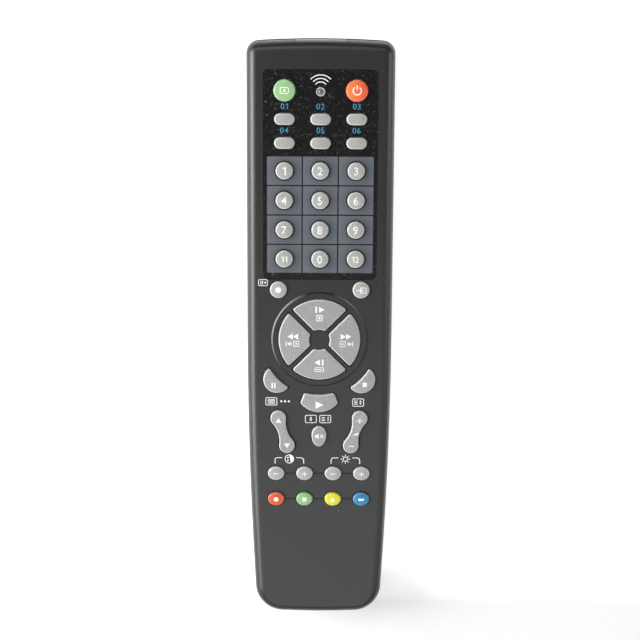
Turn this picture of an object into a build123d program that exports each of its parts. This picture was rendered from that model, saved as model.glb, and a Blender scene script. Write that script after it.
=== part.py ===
"""Hand-held infrared remote control: two-part case, forty sprung keys, board, cells and sliding cover.

Millimetres. +Z comes out of the key face, +Y points to the infrared end, and the origin is on the
rest plane, under the middle of the case.
"""

import os
from collections import namedtuple
from math import cos, hypot, radians, sin, sqrt

from build123d import *

os.makedirs("parts", exist_ok=True)

# Case
face_height = 21.0
seam_height = 11.5
plinth_side = 8.6
foot_narrowing = 3.25
far_margin = 16.9
foot_margin = 42.7
taper_start_y = 0.0
top_bow = 0.9
foot_bow = 0.85
top_corner = 4.4
foot_corner = 10.0
wall = 2.0
top_wall = 1.8
floor = 2.0
shoulder_radius = 3.4
back_radius = 4.0
seam_step = 0.3
seam_reveal = 0.35
lip_height = 1.5
lip_thickness = 0.6
lip_clearance = 0.1
overrun = 1.0

# Key columns, decimals kept by a worked-out place, gaps between the rows towards the foot, and fits
columns = 3
decimals = 6
column_pitch = 12.0
mode_row_gap = 3.85
device_row_gap = 4.1
tile_row_gap = 2.35
number_row_gap = 4.1
number_rows = 4
source_gap = 0.65
source_spacing = 28.0
source_to_pad = 17.2
mute_gap = 5.1
level_gap = 7.35
oval_row_gap = 4.5
oval_gap = 4.14
oval_columns = 4
key_rise = 1.4
key_travel = 1.0
key_clearance = 0.35
key_edge = 0.55
key_crown = 0.35
flange_reach = 0.6
flange_thickness = 1.0
flange_play = 0.1
plunger_radius = 1.6
pill_radius = 1.5
pill_thickness = 0.4
pill_clearance = 0.05

# Key outlines
mode_key_diameter = 7.3
number_key_diameter = 5.8
source_key_diameter = 5.7
device_key_width = 6.8
device_key_height = 3.8
oval_key_width = 5.7
oval_key_height = 4.7
mute_key_width = 5.1
mute_crown = 3.1
mute_tail = 4.1
pad_outer_radius = 13.9
pad_hub_radius = 3.5
pad_hub_flat = 3.2
pad_arm_gap = 1.7
pad_corner = 0.7
pad_contact_radius = 8.6
crescent_radius = 4.75
crescent_gap = 3.35
crescent_bite = 0.25
crescent_corner = 0.6
crescent_contact_inset = 2.05
crescent_angle = 46.0
play_gap = 2.9
play_top_width = 10.2
play_width = 12.9
play_flank = 2.9
play_bow = 3.1
play_corner = 0.8
play_contact_inset = 3.0

# Rocker keys
rocker_x = 12.5
rocker_rise = 1.1
rocker_lean = 17.3
rocker_half_pitch = 5.03
rocker_end_radius = 2.7
rocker_waist = 3.2
rocker_tilt = 4.0
rocker_clearance = 0.4
rocker_pin_radius = 0.6
rocker_pin_height = 18.2
rocker_pin_fit = 0.06
rocker_lug_gap = 0.3
rocker_lug_thickness = 1.1
rocker_lug_length = 2.4

# Round pad plinth, fascia and number tiles
plinth_margin = 2.5
plinth_rise = 0.6
plinth_bevel = 0.5
hub_peg_radius = 1.5
fascia_side = 1.0
fascia_end_margin = 10.1
fascia_foot_margin = 7.0
fascia_corner = 2.0
fascia_thickness = 0.7
fascia_recess = 0.8
fascia_clearance = 0.1
tile_gap = 0.3
tile_corner = 0.7
tile_thickness = 0.2
tile_hole_margin = 0.45
groove_width = 0.5
groove_depth = 0.35

# Infrared end and indicator
window_width = 16.4
window_top_drop = 1.0
window_bottom_rise = 2.0
window_clearance = 0.05
ir_led_radius = 2.5
ir_led_body = 4.4
ir_led_spacing = 8.0
ir_lead = 0.5
ir_lead_length = 2.4
ir_lead_spacing = 2.54
indicator_drop = 0.4
indicator_radius = 1.05
indicator_ring_radius = 1.5
indicator_ring_rise = 0.25
indicator_fit = 0.05

# Board, key mat and what is soldered on
board_top = 16.0
board_thickness = 1.6
board_side = 3.0
board_end_gap = 10.0
board_foot_margin = 6.7
board_corner = 2.0
board_clearance = 0.3
mat_thickness = 0.8
mat_side_margin = 1.5
mat_end_margin = 2.6
mat_foot_margin = 1.4
mat_corner = 3.0
mat_opening_margin = 0.6
pad_thickness = 0.1
pad_radius = 1.9
rib_thickness = 1.2
post_radius = 1.6
post_edge = 4.5
post_drops = (4.0, 46.0, 86.0, 112.0)
chip_size = 9.0
chip_thickness = 1.4
chip_drop = 52.0
chip_lead = 0.4
chip_lead_reach = 1.1
chip_lead_pitch = 0.8
chip_leads = 10
capacitor_radius = 2.5
capacitor_height = 5.4
capacitor_x = 10.0
capacitor_drop = 72.0
resonator_width = 7.0
resonator_depth = 3.0
resonator_height = 3.2
resonator_x = -9.0
resistor_length = 3.2
resistor_width = 1.6
resistor_height = 0.6
resistor_drop = 28.0
resistor_spacing = 5.0
resistor_count = 4

# Battery bay, cells and contacts
cell_radius = 5.25
cell_body = 43.5
cell_nub_radius = 1.9
cell_nub = 1.0
cell_gap = 0.7
cell_clearance = 0.15
bay_foot_margin = 14.0
bay_side_clearance = 1.15
bay_wall = 1.4
bay_roof = 1.2
bay_headroom = 0.25
contact_thickness = 0.4
contact_width = 9.0
contact_height = 8.6
spring_wire = 0.35
spring_radius = 3.0
spring_turns = 4
spring_room = 5.7
spring_clearance = 0.1

# Battery cover and the rails it slides in
cover_side_lap = 2.4
cover_thickness = 1.8
cover_head_margin = 2.5
cover_tongue = 1.0
cover_tongue_thickness = 0.9
cover_clearance = 0.1
rail_reach = 1.2
rail_height = 1.3
grip_width = 12.0
grip_groove = 1.0
grip_depth = 0.5
grip_pitch = 2.2
grip_count = 6
grip_drop = 15.0

# Screws that pull the two halves together
screw_wall_gap = 0.6
screw_end_drop = 28.0
screw_cover_gap = 0.95
screw_foot_rise = 30.0
screw_head_radius = 2.1
screw_head_height = 1.4
screw_shank_radius = 1.15
screw_length = 10.0
screw_recess_depth = 3.0
screw_recess_clearance = 0.15
screw_hole_clearance = 0.2
screw_pilot_fit = 0.05
screw_slot_width = 0.5
screw_slot_length = 2.8
screw_slot_depth = 0.7
boss_wall = 0.95
upper_boss_radius = 2.6

# Radii of the round pad's neighbours, and the distances between rows
plinth_radius = pad_outer_radius + plinth_margin
crescent_inner_radius = plinth_radius + crescent_gap
crescent_distance = crescent_inner_radius + crescent_bite
crescent_contact_radius = crescent_inner_radius + crescent_contact_inset
play_inner_radius = round(plinth_radius + play_gap, decimals)
play_shoulder_distance = round(play_inner_radius + play_flank, decimals)
play_depth_distance = round(play_shoulder_distance + play_bow, decimals)
play_contact_radius = round(play_inner_radius + play_contact_inset, decimals)
mode_to_device = mode_key_diameter / 2 + mode_row_gap + device_key_height / 2
device_row_pitch = device_key_height + device_row_gap
number_row_pitch = round(number_key_diameter + number_row_gap, decimals)
device_to_number = device_key_height / 2 + tile_row_gap + number_row_pitch / 2
number_rows_span = (number_rows - 1) * number_row_pitch
number_to_source = fascia_foot_margin + source_gap + source_key_diameter / 2
pad_to_mute = play_depth_distance + mute_gap + mute_crown
mute_to_level = mute_tail + level_gap + oval_key_height / 2
oval_row_pitch = oval_key_height + oval_row_gap
oval_pitch = oval_key_width + oval_gap

# Case size, and the rows from the far end to the foot
case_width = 2 * (plinth_radius + plinth_side)
upper_length = far_margin + mode_to_device + device_row_pitch + device_to_number + number_rows_span
lower_length = number_to_source + source_to_pad + pad_to_mute + mute_to_level + oval_row_pitch + foot_margin
case_length = upper_length + lower_length
half_width = case_width / 2
half_length = case_length / 2
mode_row_y = half_length - far_margin
device_first_row_y = round(mode_row_y - mode_to_device, decimals)
device_rows_y = (device_first_row_y, round(device_first_row_y - device_row_pitch, decimals))
number_first_row_y = round(device_rows_y[1] - device_to_number, decimals)
number_last_row_y = number_first_row_y - number_rows_span
source_row_y = round(number_last_row_y - number_to_source, decimals)
pad_y = round(source_row_y - source_to_pad, decimals)
mute_y = round(pad_y - pad_to_mute, decimals)
rocker_y = round(mute_y + rocker_rise, decimals)
level_row_y = round(mute_y - mute_to_level, decimals)
colour_row_y = round(level_row_y - oval_row_pitch, decimals)
indicator_y = round(mode_row_y - indicator_drop, decimals)
fascia_width = columns * column_pitch + 2 * fascia_side
fascia_top_y = half_length - fascia_end_margin
fascia_bottom_y = round(number_last_row_y - fascia_foot_margin, decimals)
tiles_half_width = (columns * column_pitch - tile_gap) / 2
tile_reach = (number_row_pitch - tile_gap) / 2

# Board, battery bay and screws, each tied to the end or the row that it belongs to
board_width = case_width - 2 * (wall + board_side)
board_top_y = half_length - board_end_gap
board_bottom_y = round(colour_row_y - board_foot_margin, decimals)
mat_width = board_width - 2 * mat_side_margin
mat_top_y = board_top_y - mat_end_margin
mat_bottom_y = round(board_bottom_y + mat_foot_margin, decimals)
post_x = board_width / 2 - post_edge
posts_y = [board_top_y - drop for drop in post_drops]
chip_y = board_top_y - chip_drop
capacitor_y = board_top_y - capacitor_drop
resistor_y = board_top_y - resistor_drop
bay_length = cell_body + cell_nub + 2 * contact_thickness + spring_room
bay_bottom_y = bay_foot_margin - half_length
bay_top_y = bay_bottom_y + bay_length
bay_width = 4 * cell_radius + cell_gap + 2 * bay_side_clearance
cover_width = bay_width + 2 * cover_side_lap
grip_y = bay_top_y - grip_drop
screw_upper_x = round(half_width - wall - upper_boss_radius - screw_wall_gap, decimals)
screw_upper_y = half_length - screw_end_drop
screw_reach = screw_head_radius + screw_recess_clearance
screw_lower_x = cover_width / 2 + cover_tongue + screw_cover_gap + screw_reach
screw_lower_y = screw_foot_rise - half_length

# Heights and edges worked out from the sizes above
foot_y = foot_bow - half_length
ceiling = face_height - top_wall
flange_top = ceiling - flange_play
flange_bottom = flange_top - flange_thickness
key_top = face_height + key_rise
board_bottom = board_top - board_thickness
mat_top = board_top + mat_thickness
pill_bottom = board_top + pad_thickness + key_travel + pill_clearance
pill_top = pill_bottom + pill_thickness
fascia_floor = face_height - fascia_recess
fascia_top = fascia_floor + fascia_thickness
cell_axis_height = cover_thickness + cell_clearance + cell_radius
bay_ceiling = cell_axis_height + cell_radius + bay_headroom
cover_head_y = bay_top_y + cover_head_margin
slot_depth = cover_thickness + cover_clearance
cell_x = cell_radius + cell_gap / 2
boss_radius = screw_reach + boss_wall
screw_places = (
    (screw_upper_x, screw_upper_y),
    (-screw_upper_x, screw_upper_y),
    (screw_lower_x, screw_lower_y),
    (-screw_lower_x, screw_lower_y),
)


# Case outline and its sections

end_radius = (half_width**2 + top_bow**2) / (2 * top_bow)
end_centre_y = half_length - end_radius
foot_radius = ((half_width - foot_narrowing) ** 2 + foot_bow**2) / (2 * foot_bow)
foot_centre_y = foot_radius - half_length
flank_radius = ((taper_start_y - foot_y) ** 2 + foot_narrowing**2) / (2 * foot_narrowing)
flank_centre_x = half_width - flank_radius


def foot_corner_place(inset):
    """Where the inset flank arc meets the inset foot arc, right of the middle."""
    flank = flank_radius - inset
    foot = foot_radius - inset
    across = -flank_centre_x
    up = foot_centre_y - taper_start_y
    distance = hypot(across, up)
    along = (flank**2 - foot**2 + distance**2) / (2 * distance)
    aside = sqrt(flank**2 - along**2)
    corner_x = flank_centre_x + (along * across + aside * up) / distance
    corner_y = taper_start_y + (along * up - aside * across) / distance
    return corner_x, corner_y


def case_section(height, inset):
    """The case outline at a height, drawn in by an inset."""
    side = half_width - inset
    end_y = end_centre_y + sqrt((end_radius - inset) ** 2 - side**2)
    foot_x, foot_corner_y = foot_corner_place(inset)
    with BuildSketch(Plane.XY.offset(height)) as section:
        with BuildLine():
            ThreePointArc((side, end_y), (0, half_length - inset), (-side, end_y))
            for hand in (-1, 1):
                straight = Line((hand * side, end_y), (hand * side, taper_start_y))
                TangentArc(straight @ 1, (hand * foot_x, foot_corner_y), tangent=straight % 1)
            ThreePointArc((-foot_x, foot_corner_y), (0, inset - half_length), (foot_x, foot_corner_y))
        make_face()
        fillet(section.vertices().group_by(Axis.Y)[-1], top_corner - inset)
        fillet(section.vertices().group_by(Axis.Y)[0], foot_corner - inset)
    return section.sketch


def block_section(height, x_from, x_to, y_from, y_to, corner=0):
    """A rectangle between four edges at a height, with rounded corners if asked for."""
    with BuildSketch(Plane.XY.offset(height)) as section:
        with Locations(((x_from + x_to) / 2, (y_from + y_to) / 2)):
            if corner:
                RectangleRounded(x_to - x_from, y_to - y_from, corner)
            else:
                Rectangle(x_to - x_from, y_to - y_from)
    return section.sketch


def disc_section(height, places, radius):
    """Equal discs at several places at a height."""
    with BuildSketch(Plane.XY.offset(height)) as section:
        with Locations(*places):
            Circle(radius)
    return section.sketch


# Key outlines, each drawn in the plane of the key and grown by a margin

def round_key(diameter):
    """Outline of a round key."""
    def section(plane, margin):
        with BuildSketch(plane) as outline:
            Circle(diameter / 2 + margin)
        return outline.sketch
    return section


def device_key(plane, margin):
    """Outline of a flat key with fully rounded ends."""
    with BuildSketch(plane) as outline:
        SlotOverall(device_key_width + 2 * margin, device_key_height + 2 * margin)
    return outline.sketch


def oval_key(plane, margin):
    """Outline of an oval key."""
    with BuildSketch(plane) as outline:
        Ellipse(oval_key_width / 2 + margin, oval_key_height / 2 + margin)
    return outline.sketch


def mute_key(plane, margin):
    """Egg outline with its narrow end towards the foot."""
    half = mute_key_width / 2 + margin
    with BuildSketch(plane) as outline:
        with BuildLine():
            EllipticalCenterArc((0, 0), half, mute_crown + margin, start_angle=0, arc_size=180)
            EllipticalCenterArc((0, 0), half, mute_tail + margin, start_angle=180, arc_size=180)
        make_face()
    return outline.sketch


def pad_key(plane, margin):
    """Quarter of the round pad, between two diagonal arms and outside the hub."""
    arm_gap = (pad_arm_gap / 2 - margin) * sqrt(2)
    hub_flat = pad_hub_flat - margin
    reach = pad_outer_radius + overrun
    with BuildSketch(plane) as outline:
        with BuildLine():
            Polyline(
                (hub_flat - arm_gap, hub_flat),
                (reach - arm_gap, reach),
                (arm_gap - reach, reach),
                (arm_gap - hub_flat, hub_flat),
                close=True,
            )
        make_face()
        Circle(pad_outer_radius + margin, mode=Mode.INTERSECT)
        Circle(pad_hub_radius - margin, mode=Mode.SUBTRACT)
        fillet(outline.vertices().sort_by_distance((0, 0, 0))[-2:], pad_corner)
    return outline.sketch


def crescent_key(plane, margin):
    """Disc bitten by a circle about the pad, its two horns rounded."""
    with BuildSketch(plane) as outline:
        with Locations((0, crescent_distance)):
            Circle(crescent_radius + margin)
        Circle(crescent_inner_radius - margin, mode=Mode.SUBTRACT)
        fillet(outline.vertices(), crescent_corner)
    return outline.sketch


def play_key(plane, margin):
    """Shield with a hollow edge that follows the pad and a bowed far edge."""
    top_half = play_top_width / 2
    top_edge = sqrt(play_inner_radius**2 - top_half**2)
    with BuildSketch(plane) as outline:
        with BuildLine():
            hollow = ThreePointArc((-top_half, top_edge), (0, play_inner_radius), (top_half, top_edge))
            right = Line(hollow @ 1, (play_width / 2, play_shoulder_distance))
            bow = ThreePointArc(right @ 1, (0, play_depth_distance), (-play_width / 2, play_shoulder_distance))
            Line(bow @ 1, hollow @ 0)
        make_face()
        fillet(outline.vertices(), play_corner)
        if margin:
            offset(amount=margin)
    return outline.sketch


def rocker_key(plane, margin):
    """Dumbbell outline, two round ends joined by hollow sides."""
    end = rocker_end_radius + margin
    waist = rocker_waist / 2 + margin
    hollow = (waist**2 + rocker_half_pitch**2 - end**2) / (2 * (end - waist))
    join_share = hollow / (hollow + end)
    join_x = (waist + hollow) * (1 - join_share)
    join_y = rocker_half_pitch * join_share
    tip = rocker_half_pitch + end
    with BuildSketch(plane) as outline:
        with BuildLine():
            ThreePointArc((-join_x, join_y), (0, tip), (join_x, join_y))
            ThreePointArc((join_x, join_y), (waist, 0), (join_x, -join_y))
            ThreePointArc((join_x, -join_y), (0, -tip), (-join_x, -join_y))
            ThreePointArc((-join_x, -join_y), (-waist, 0), (-join_x, join_y))
        make_face()
    return outline.sketch


# The keys: name, place, turn about Z and outline, then, in the key's own plane, the place of the
# contact, the middle of the crowned top and how far the crown reaches from there

Key = namedtuple("Key", "name x y turn outline contact middle reach")
centre = (0, 0)
keys = []


def add_key(name, x, y, outline, reach):
    """Adds an upright key with its contact and crown in the middle."""
    keys.append(Key(name, x, y, 0, outline, centre, centre, reach))


for name, side in (("key_set", -1), ("key_power", 1)):
    add_key(name, side * column_pitch, mode_row_y, round_key(mode_key_diameter), mode_key_diameter / 2)
for row, row_y in enumerate(device_rows_y):
    for column in range(columns):
        name = f"key_device_{row * columns + column + 1}"
        add_key(name, (column - 1) * column_pitch, row_y, device_key, device_key_width / 2)
for row in range(number_rows):
    row_y = number_first_row_y - row * number_row_pitch
    for column in range(columns):
        name = f"key_number_{row * columns + column + 1}"
        key_x = (column - 1) * column_pitch
        add_key(name, key_x, row_y, round_key(number_key_diameter), number_key_diameter / 2)
for name, side in (("key_record", -1), ("key_source", 1)):
    key_x = side * source_spacing / 2
    add_key(name, key_x, source_row_y, round_key(source_key_diameter), source_key_diameter / 2)
for turn, name in enumerate(("key_pad_up", "key_pad_left", "key_pad_down", "key_pad_right")):
    contact = (0, pad_contact_radius)
    keys.append(Key(name, 0, pad_y, turn * 90, pad_key, contact, centre, pad_outer_radius))
for name, side in (("key_pause", 1), ("key_stop", -1)):
    turn = side * (180 - crescent_angle)
    contact = (0, crescent_contact_radius)
    keys.append(Key(name, 0, pad_y, turn, crescent_key, contact, contact, crescent_radius))
contact = (0, play_contact_radius)
keys.append(Key("key_play", 0, pad_y, 180, play_key, contact, contact, play_width / 2))
add_key("key_mute", 0, mute_y, mute_key, mute_tail)
oval_rows = (
    (level_row_y, ("key_tint_down", "key_tint_up", "key_light_down", "key_light_up")),
    (colour_row_y, ("key_red", "key_green", "key_yellow", "key_blue")),
)
for row_y, names in oval_rows:
    for column, name in enumerate(names):
        oval_x = (column - (oval_columns - 1) / 2) * oval_pitch
        add_key(name, oval_x, row_y, oval_key, oval_key_width / 2)
rockers = [
    Key("key_channel", -rocker_x, rocker_y, rocker_lean, rocker_key, centre, centre, rocker_half_pitch),
    Key("key_volume", rocker_x, rocker_y, -rocker_lean, rocker_key, centre, centre, rocker_half_pitch),
]
rocker_contacts = ((0, rocker_half_pitch), (0, -rocker_half_pitch))


def key_plane(key, height):
    """The plane of a key's outline at a height."""
    return Plane(Location((key.x, key.y, height), (0, 0, key.turn)))


def contact_section(key, height, radius, contacts):
    """Discs over a key's contacts at a height."""
    with BuildSketch(key_plane(key, height)) as section:
        with Locations(*contacts):
            Circle(radius)
    return section.sketch


def save(part, name):
    """Label a piece and write it."""
    part.label = name
    export_step(part, f"parts/{name}.step")


# Sprung keys, each a moulded cap with its flange and plunger, and a contact pill under it

def make_key(key):
    """One push key with its pill."""
    with BuildPart() as cap:
        extrude(key.outline(key_plane(key, flange_bottom), 0), amount=key_top - flange_bottom)
        crown_radius = (key.reach**2 + key_crown**2) / (2 * key_crown)
        with Locations(key_plane(key, key_top - crown_radius).from_local_coords((*key.middle, 0))):
            Sphere(crown_radius, rotation=(90, 0, 0), mode=Mode.INTERSECT)
        fillet(cap.faces().sort_by(Axis.Z)[-1].edges(), key_edge)
        extrude(key.outline(key_plane(key, flange_bottom), flange_reach), amount=flange_thickness)
        extrude(
            contact_section(key, pill_top, plunger_radius, (key.contact,)),
            amount=flange_bottom - pill_top,
        )
    with BuildPart() as pill:
        extrude(contact_section(key, pill_bottom, pill_radius, (key.contact,)), amount=pill_thickness)
    save(Compound(children=[cap.part, pill.part]), key.name)


for key in keys:
    make_key(key)


# Rocker keys, each tipping on two pins under the face

rocker_drop = (rocker_half_pitch + rocker_end_radius) * sin(radians(rocker_tilt))
rocker_pill_bottom = board_top + pad_thickness + rocker_drop + pill_clearance
rocker_pill_top = rocker_pill_bottom + pill_thickness
rocker_body_bottom = rocker_pin_height - rocker_pin_radius - rocker_pin_fit
lug_inner = rocker_waist / 2 + rocker_lug_gap
lug_outer = lug_inner + rocker_lug_thickness


def pin_plane(rocker):
    """The plane across a rocker whose normal is its tipping axis."""
    turn = radians(rocker.turn)
    origin = (rocker.x, rocker.y, rocker_pin_height)
    return Plane(origin=origin, x_dir=(0, 0, 1), z_dir=(cos(turn), sin(turn), 0))


def make_rocker(rocker):
    """One rocker key with its pins and its two pills."""
    with BuildPart() as cap:
        extrude(
            rocker.outline(key_plane(rocker, rocker_body_bottom), 0),
            amount=key_top - rocker_body_bottom,
        )
        fillet(cap.faces().sort_by(Axis.Z)[-1].edges(), key_edge)
        with BuildSketch(pin_plane(rocker)):
            Circle(rocker_pin_radius)
        extrude(amount=lug_outer, both=True)
        extrude(
            contact_section(rocker, rocker_pill_top, plunger_radius, rocker_contacts),
            amount=rocker_body_bottom - rocker_pill_top,
        )
    with BuildPart() as pills:
        extrude(
            contact_section(rocker, rocker_pill_bottom, pill_radius, rocker_contacts),
            amount=pill_thickness,
        )
    save(Compound(children=[cap.part, pills.part]), rocker.name)


for rocker in rockers:
    make_rocker(rocker)


# Top half of the case

window_half = window_width / 2
window_bottom = seam_height + window_bottom_rise
window_top = face_height - window_top_drop
window_inner_y = half_length - seam_step - wall
lamp_hole_radius = indicator_ring_radius + indicator_fit
board_half = board_width / 2


def window_section(height, margin):
    """The part of the far end wall that the window fills, with a margin all round."""
    return block_section(
        height,
        -window_half - margin,
        window_half + margin,
        window_inner_y - overrun,
        half_length + overrun,
    )


with BuildPart() as top_blank:
    extrude(
        case_section(seam_height + seam_reveal, seam_step),
        amount=face_height - seam_height - seam_reveal,
    )
    fillet(top_blank.faces().sort_by(Axis.Z)[-1].edges(), shoulder_radius)
    extrude(
        case_section(seam_height, seam_step + wall),
        amount=ceiling - seam_height,
        mode=Mode.SUBTRACT,
    )

with BuildPart() as top_case:
    add(top_blank.part)
    extrude(disc_section(face_height, ((0, pad_y),), plinth_radius), amount=plinth_rise)
    chamfer(top_case.faces().sort_by(Axis.Z)[-1].edges(), plinth_bevel)
    extrude(
        case_section(seam_height, wall - lip_thickness - lip_clearance),
        amount=lip_height,
        mode=Mode.SUBTRACT,
    )
    extrude(
        block_section(
            fascia_floor,
            -fascia_width / 2 - fascia_clearance,
            fascia_width / 2 + fascia_clearance,
            fascia_bottom_y - fascia_clearance,
            fascia_top_y + fascia_clearance,
            fascia_corner,
        ),
        amount=fascia_recess,
        mode=Mode.SUBTRACT,
    )
    # ribs and a peg that hold the mat down, and bosses for the screws
    for side in (-1, 1):
        extrude(
            block_section(
                mat_top,
                side * column_pitch / 2 - rib_thickness / 2,
                side * column_pitch / 2 + rib_thickness / 2,
                number_last_row_y,
                device_rows_y[0],
            ),
            amount=ceiling - mat_top,
        )
    for rib_x in (-oval_pitch, 0, oval_pitch):
        extrude(
            block_section(
                mat_top,
                rib_x - rib_thickness / 2,
                rib_x + rib_thickness / 2,
                colour_row_y,
                level_row_y,
            ),
            amount=ceiling - mat_top,
        )
    extrude(disc_section(mat_top, ((0, pad_y),), hub_peg_radius), amount=ceiling - mat_top)
    extrude(disc_section(seam_height, screw_places, upper_boss_radius), amount=ceiling - seam_height)
    # lugs that carry the rocker pins
    for rocker in rockers:
        with BuildSketch(key_plane(rocker, rocker_pin_height - rocker_lug_length / 2)):
            for side in (-1, 1):
                with Locations((side * (lug_inner + lug_outer) / 2, 0)):
                    Rectangle(rocker_lug_thickness, rocker_lug_length)
        extrude(amount=ceiling - rocker_pin_height + rocker_lug_length / 2)
        with BuildSketch(pin_plane(rocker)):
            Circle(rocker_pin_radius + rocker_pin_fit)
        extrude(amount=lug_outer + overrun, both=True, mode=Mode.SUBTRACT)
    # openings in the face
    for key in keys:
        extrude(
            key.outline(key_plane(key, ceiling), key_clearance),
            amount=face_height + plinth_rise - ceiling,
            mode=Mode.SUBTRACT,
        )
    for rocker in rockers:
        extrude(
            rocker.outline(key_plane(rocker, ceiling), rocker_clearance),
            amount=face_height - ceiling,
            mode=Mode.SUBTRACT,
        )
    extrude(
        disc_section(ceiling, ((0, indicator_y),), lamp_hole_radius),
        amount=top_wall,
        mode=Mode.SUBTRACT,
    )
    for row_y in (level_row_y, colour_row_y):
        extrude(
            block_section(
                face_height - groove_depth,
                -oval_pitch * (oval_columns - 1) / 2,
                oval_pitch * (oval_columns - 1) / 2,
                row_y - groove_width / 2,
                row_y + groove_width / 2,
            ),
            amount=groove_depth,
            mode=Mode.SUBTRACT,
        )
    extrude(
        window_section(window_bottom - window_clearance, window_clearance),
        amount=window_top - window_bottom + 2 * window_clearance,
        mode=Mode.SUBTRACT,
    )
    extrude(
        disc_section(seam_height, screw_places, screw_shank_radius + screw_pilot_fit),
        amount=ceiling - seam_height - top_wall / 2,
        mode=Mode.SUBTRACT,
    )
save(top_case.part, "top_case")

with BuildPart() as ir_window:
    add(top_blank.part)
    extrude(window_section(window_bottom, 0), amount=window_top - window_bottom, mode=Mode.INTERSECT)
save(ir_window.part, "ir_window")


# Fascia and the tiles round the number keys

upper_keys = [key for key in keys if key.y > fascia_bottom_y]
number_keys = [key for key in keys if key.name.startswith("key_number")]

with BuildPart() as fascia_panel:
    extrude(
        block_section(
            fascia_floor,
            -fascia_width / 2,
            fascia_width / 2,
            fascia_bottom_y,
            fascia_top_y,
            fascia_corner,
        ),
        amount=fascia_thickness,
    )
    for key in upper_keys:
        extrude(
            key.outline(key_plane(key, fascia_floor), key_clearance),
            amount=fascia_thickness,
            mode=Mode.SUBTRACT,
        )
    extrude(
        disc_section(fascia_floor, ((0, indicator_y),), lamp_hole_radius),
        amount=fascia_thickness,
        mode=Mode.SUBTRACT,
    )
save(fascia_panel.part, "fascia_panel")

with BuildPart() as number_tiles:
    for key in number_keys:
        with BuildSketch(key_plane(key, fascia_top)):
            Rectangle(column_pitch - tile_gap, number_row_pitch - tile_gap)
            Circle(number_key_diameter / 2 + tile_hole_margin, mode=Mode.SUBTRACT)
        extrude(amount=tile_thickness)
    extrude(
        block_section(
            fascia_top,
            -tiles_half_width,
            tiles_half_width,
            number_last_row_y - tile_reach,
            number_first_row_y + tile_reach,
            tile_corner,
        ),
        amount=tile_thickness,
        mode=Mode.INTERSECT,
    )
save(number_tiles.part, "number_tiles")


# Infrared emitters, indicator lamp and its ring

with BuildPart() as ir_emitters:
    emitter_y = board_top_y + board_clearance
    emitter_height = (board_top + board_bottom) / 2
    for side in (-1, 1):
        emitter_x = side * ir_led_spacing / 2
        with BuildSketch(Plane.XZ.offset(-emitter_y)):
            with Locations((emitter_x, emitter_height)):
                Circle(ir_led_radius)
        extrude(amount=-ir_led_body)
        with Locations((emitter_x, emitter_y + ir_led_body, emitter_height)):
            Sphere(ir_led_radius)
        for lead_side in (-1, 1):
            lead_x = emitter_x + lead_side * ir_lead_spacing / 2
            extrude(
                block_section(
                    board_top,
                    lead_x - ir_lead / 2,
                    lead_x + ir_lead / 2,
                    emitter_y - ir_lead_length,
                    emitter_y,
                ),
                amount=ir_lead,
            )
save(ir_emitters.part, "ir_emitters")

with BuildPart() as indicator_lamp:
    extrude(disc_section(board_top, ((0, indicator_y),), indicator_radius), amount=face_height - board_top)
    with Locations((0, indicator_y, face_height - indicator_radius / 2)):
        Sphere(indicator_radius)
save(indicator_lamp.part, "indicator_lamp")

with BuildPart() as indicator_ring:
    with BuildSketch(Plane.XY.offset(fascia_floor)):
        with Locations((0, indicator_y)):
            Circle(indicator_ring_radius)
            Circle(indicator_radius + indicator_fit, mode=Mode.SUBTRACT)
    extrude(amount=face_height - fascia_floor + indicator_ring_rise)
    fillet(indicator_ring.edges().group_by(Axis.Z)[-1], indicator_ring_rise / 2)
save(indicator_ring.part, "indicator_ring")


# Key mat, circuit board and what is on it

def all_contacts():
    """Every place on the board that a key presses, with the key's plane."""
    for key in keys:
        yield key, (key.contact,)
    for rocker in rockers:
        yield rocker, rocker_contacts


with BuildPart() as keypad_mat:
    extrude(
        block_section(board_top, -mat_width / 2, mat_width / 2, mat_bottom_y, mat_top_y, mat_corner),
        amount=mat_thickness,
    )
    for key, contacts in all_contacts():
        extrude(
            contact_section(key, board_top, plunger_radius + mat_opening_margin, contacts),
            amount=mat_thickness,
            mode=Mode.SUBTRACT,
        )
    extrude(
        disc_section(board_top, ((0, indicator_y),), indicator_radius + mat_opening_margin),
        amount=mat_thickness,
        mode=Mode.SUBTRACT,
    )
    extrude(
        disc_section(board_top, screw_places, upper_boss_radius + board_clearance),
        amount=mat_thickness,
        mode=Mode.SUBTRACT,
    )
save(keypad_mat.part, "keypad_mat")

with BuildPart() as circuit_board:
    extrude(
        block_section(board_bottom, -board_half, board_half, board_bottom_y, board_top_y, board_corner),
        amount=board_thickness,
    )
    extrude(
        disc_section(board_bottom, screw_places, upper_boss_radius + board_clearance),
        amount=board_thickness,
        mode=Mode.SUBTRACT,
    )
save(circuit_board.part, "circuit_board")

with BuildPart() as contact_pads:
    for key, contacts in all_contacts():
        extrude(contact_section(key, board_top, pad_radius, contacts), amount=pad_thickness)
save(contact_pads.part, "contact_pads")

with BuildPart() as controller_chip:
    extrude(
        block_section(
            board_bottom - chip_thickness,
            -chip_size / 2,
            chip_size / 2,
            chip_y - chip_size / 2,
            chip_y + chip_size / 2,
        ),
        amount=chip_thickness,
    )
    for lead in range(chip_leads):
        lead_y = chip_y + (lead - (chip_leads - 1) / 2) * chip_lead_pitch
        extrude(
            block_section(
                board_bottom - chip_lead,
                -chip_size / 2 - chip_lead_reach,
                chip_size / 2 + chip_lead_reach,
                lead_y - chip_lead / 2,
                lead_y + chip_lead / 2,
            ),
            amount=chip_lead,
        )
save(controller_chip.part, "controller_chip")

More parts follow.
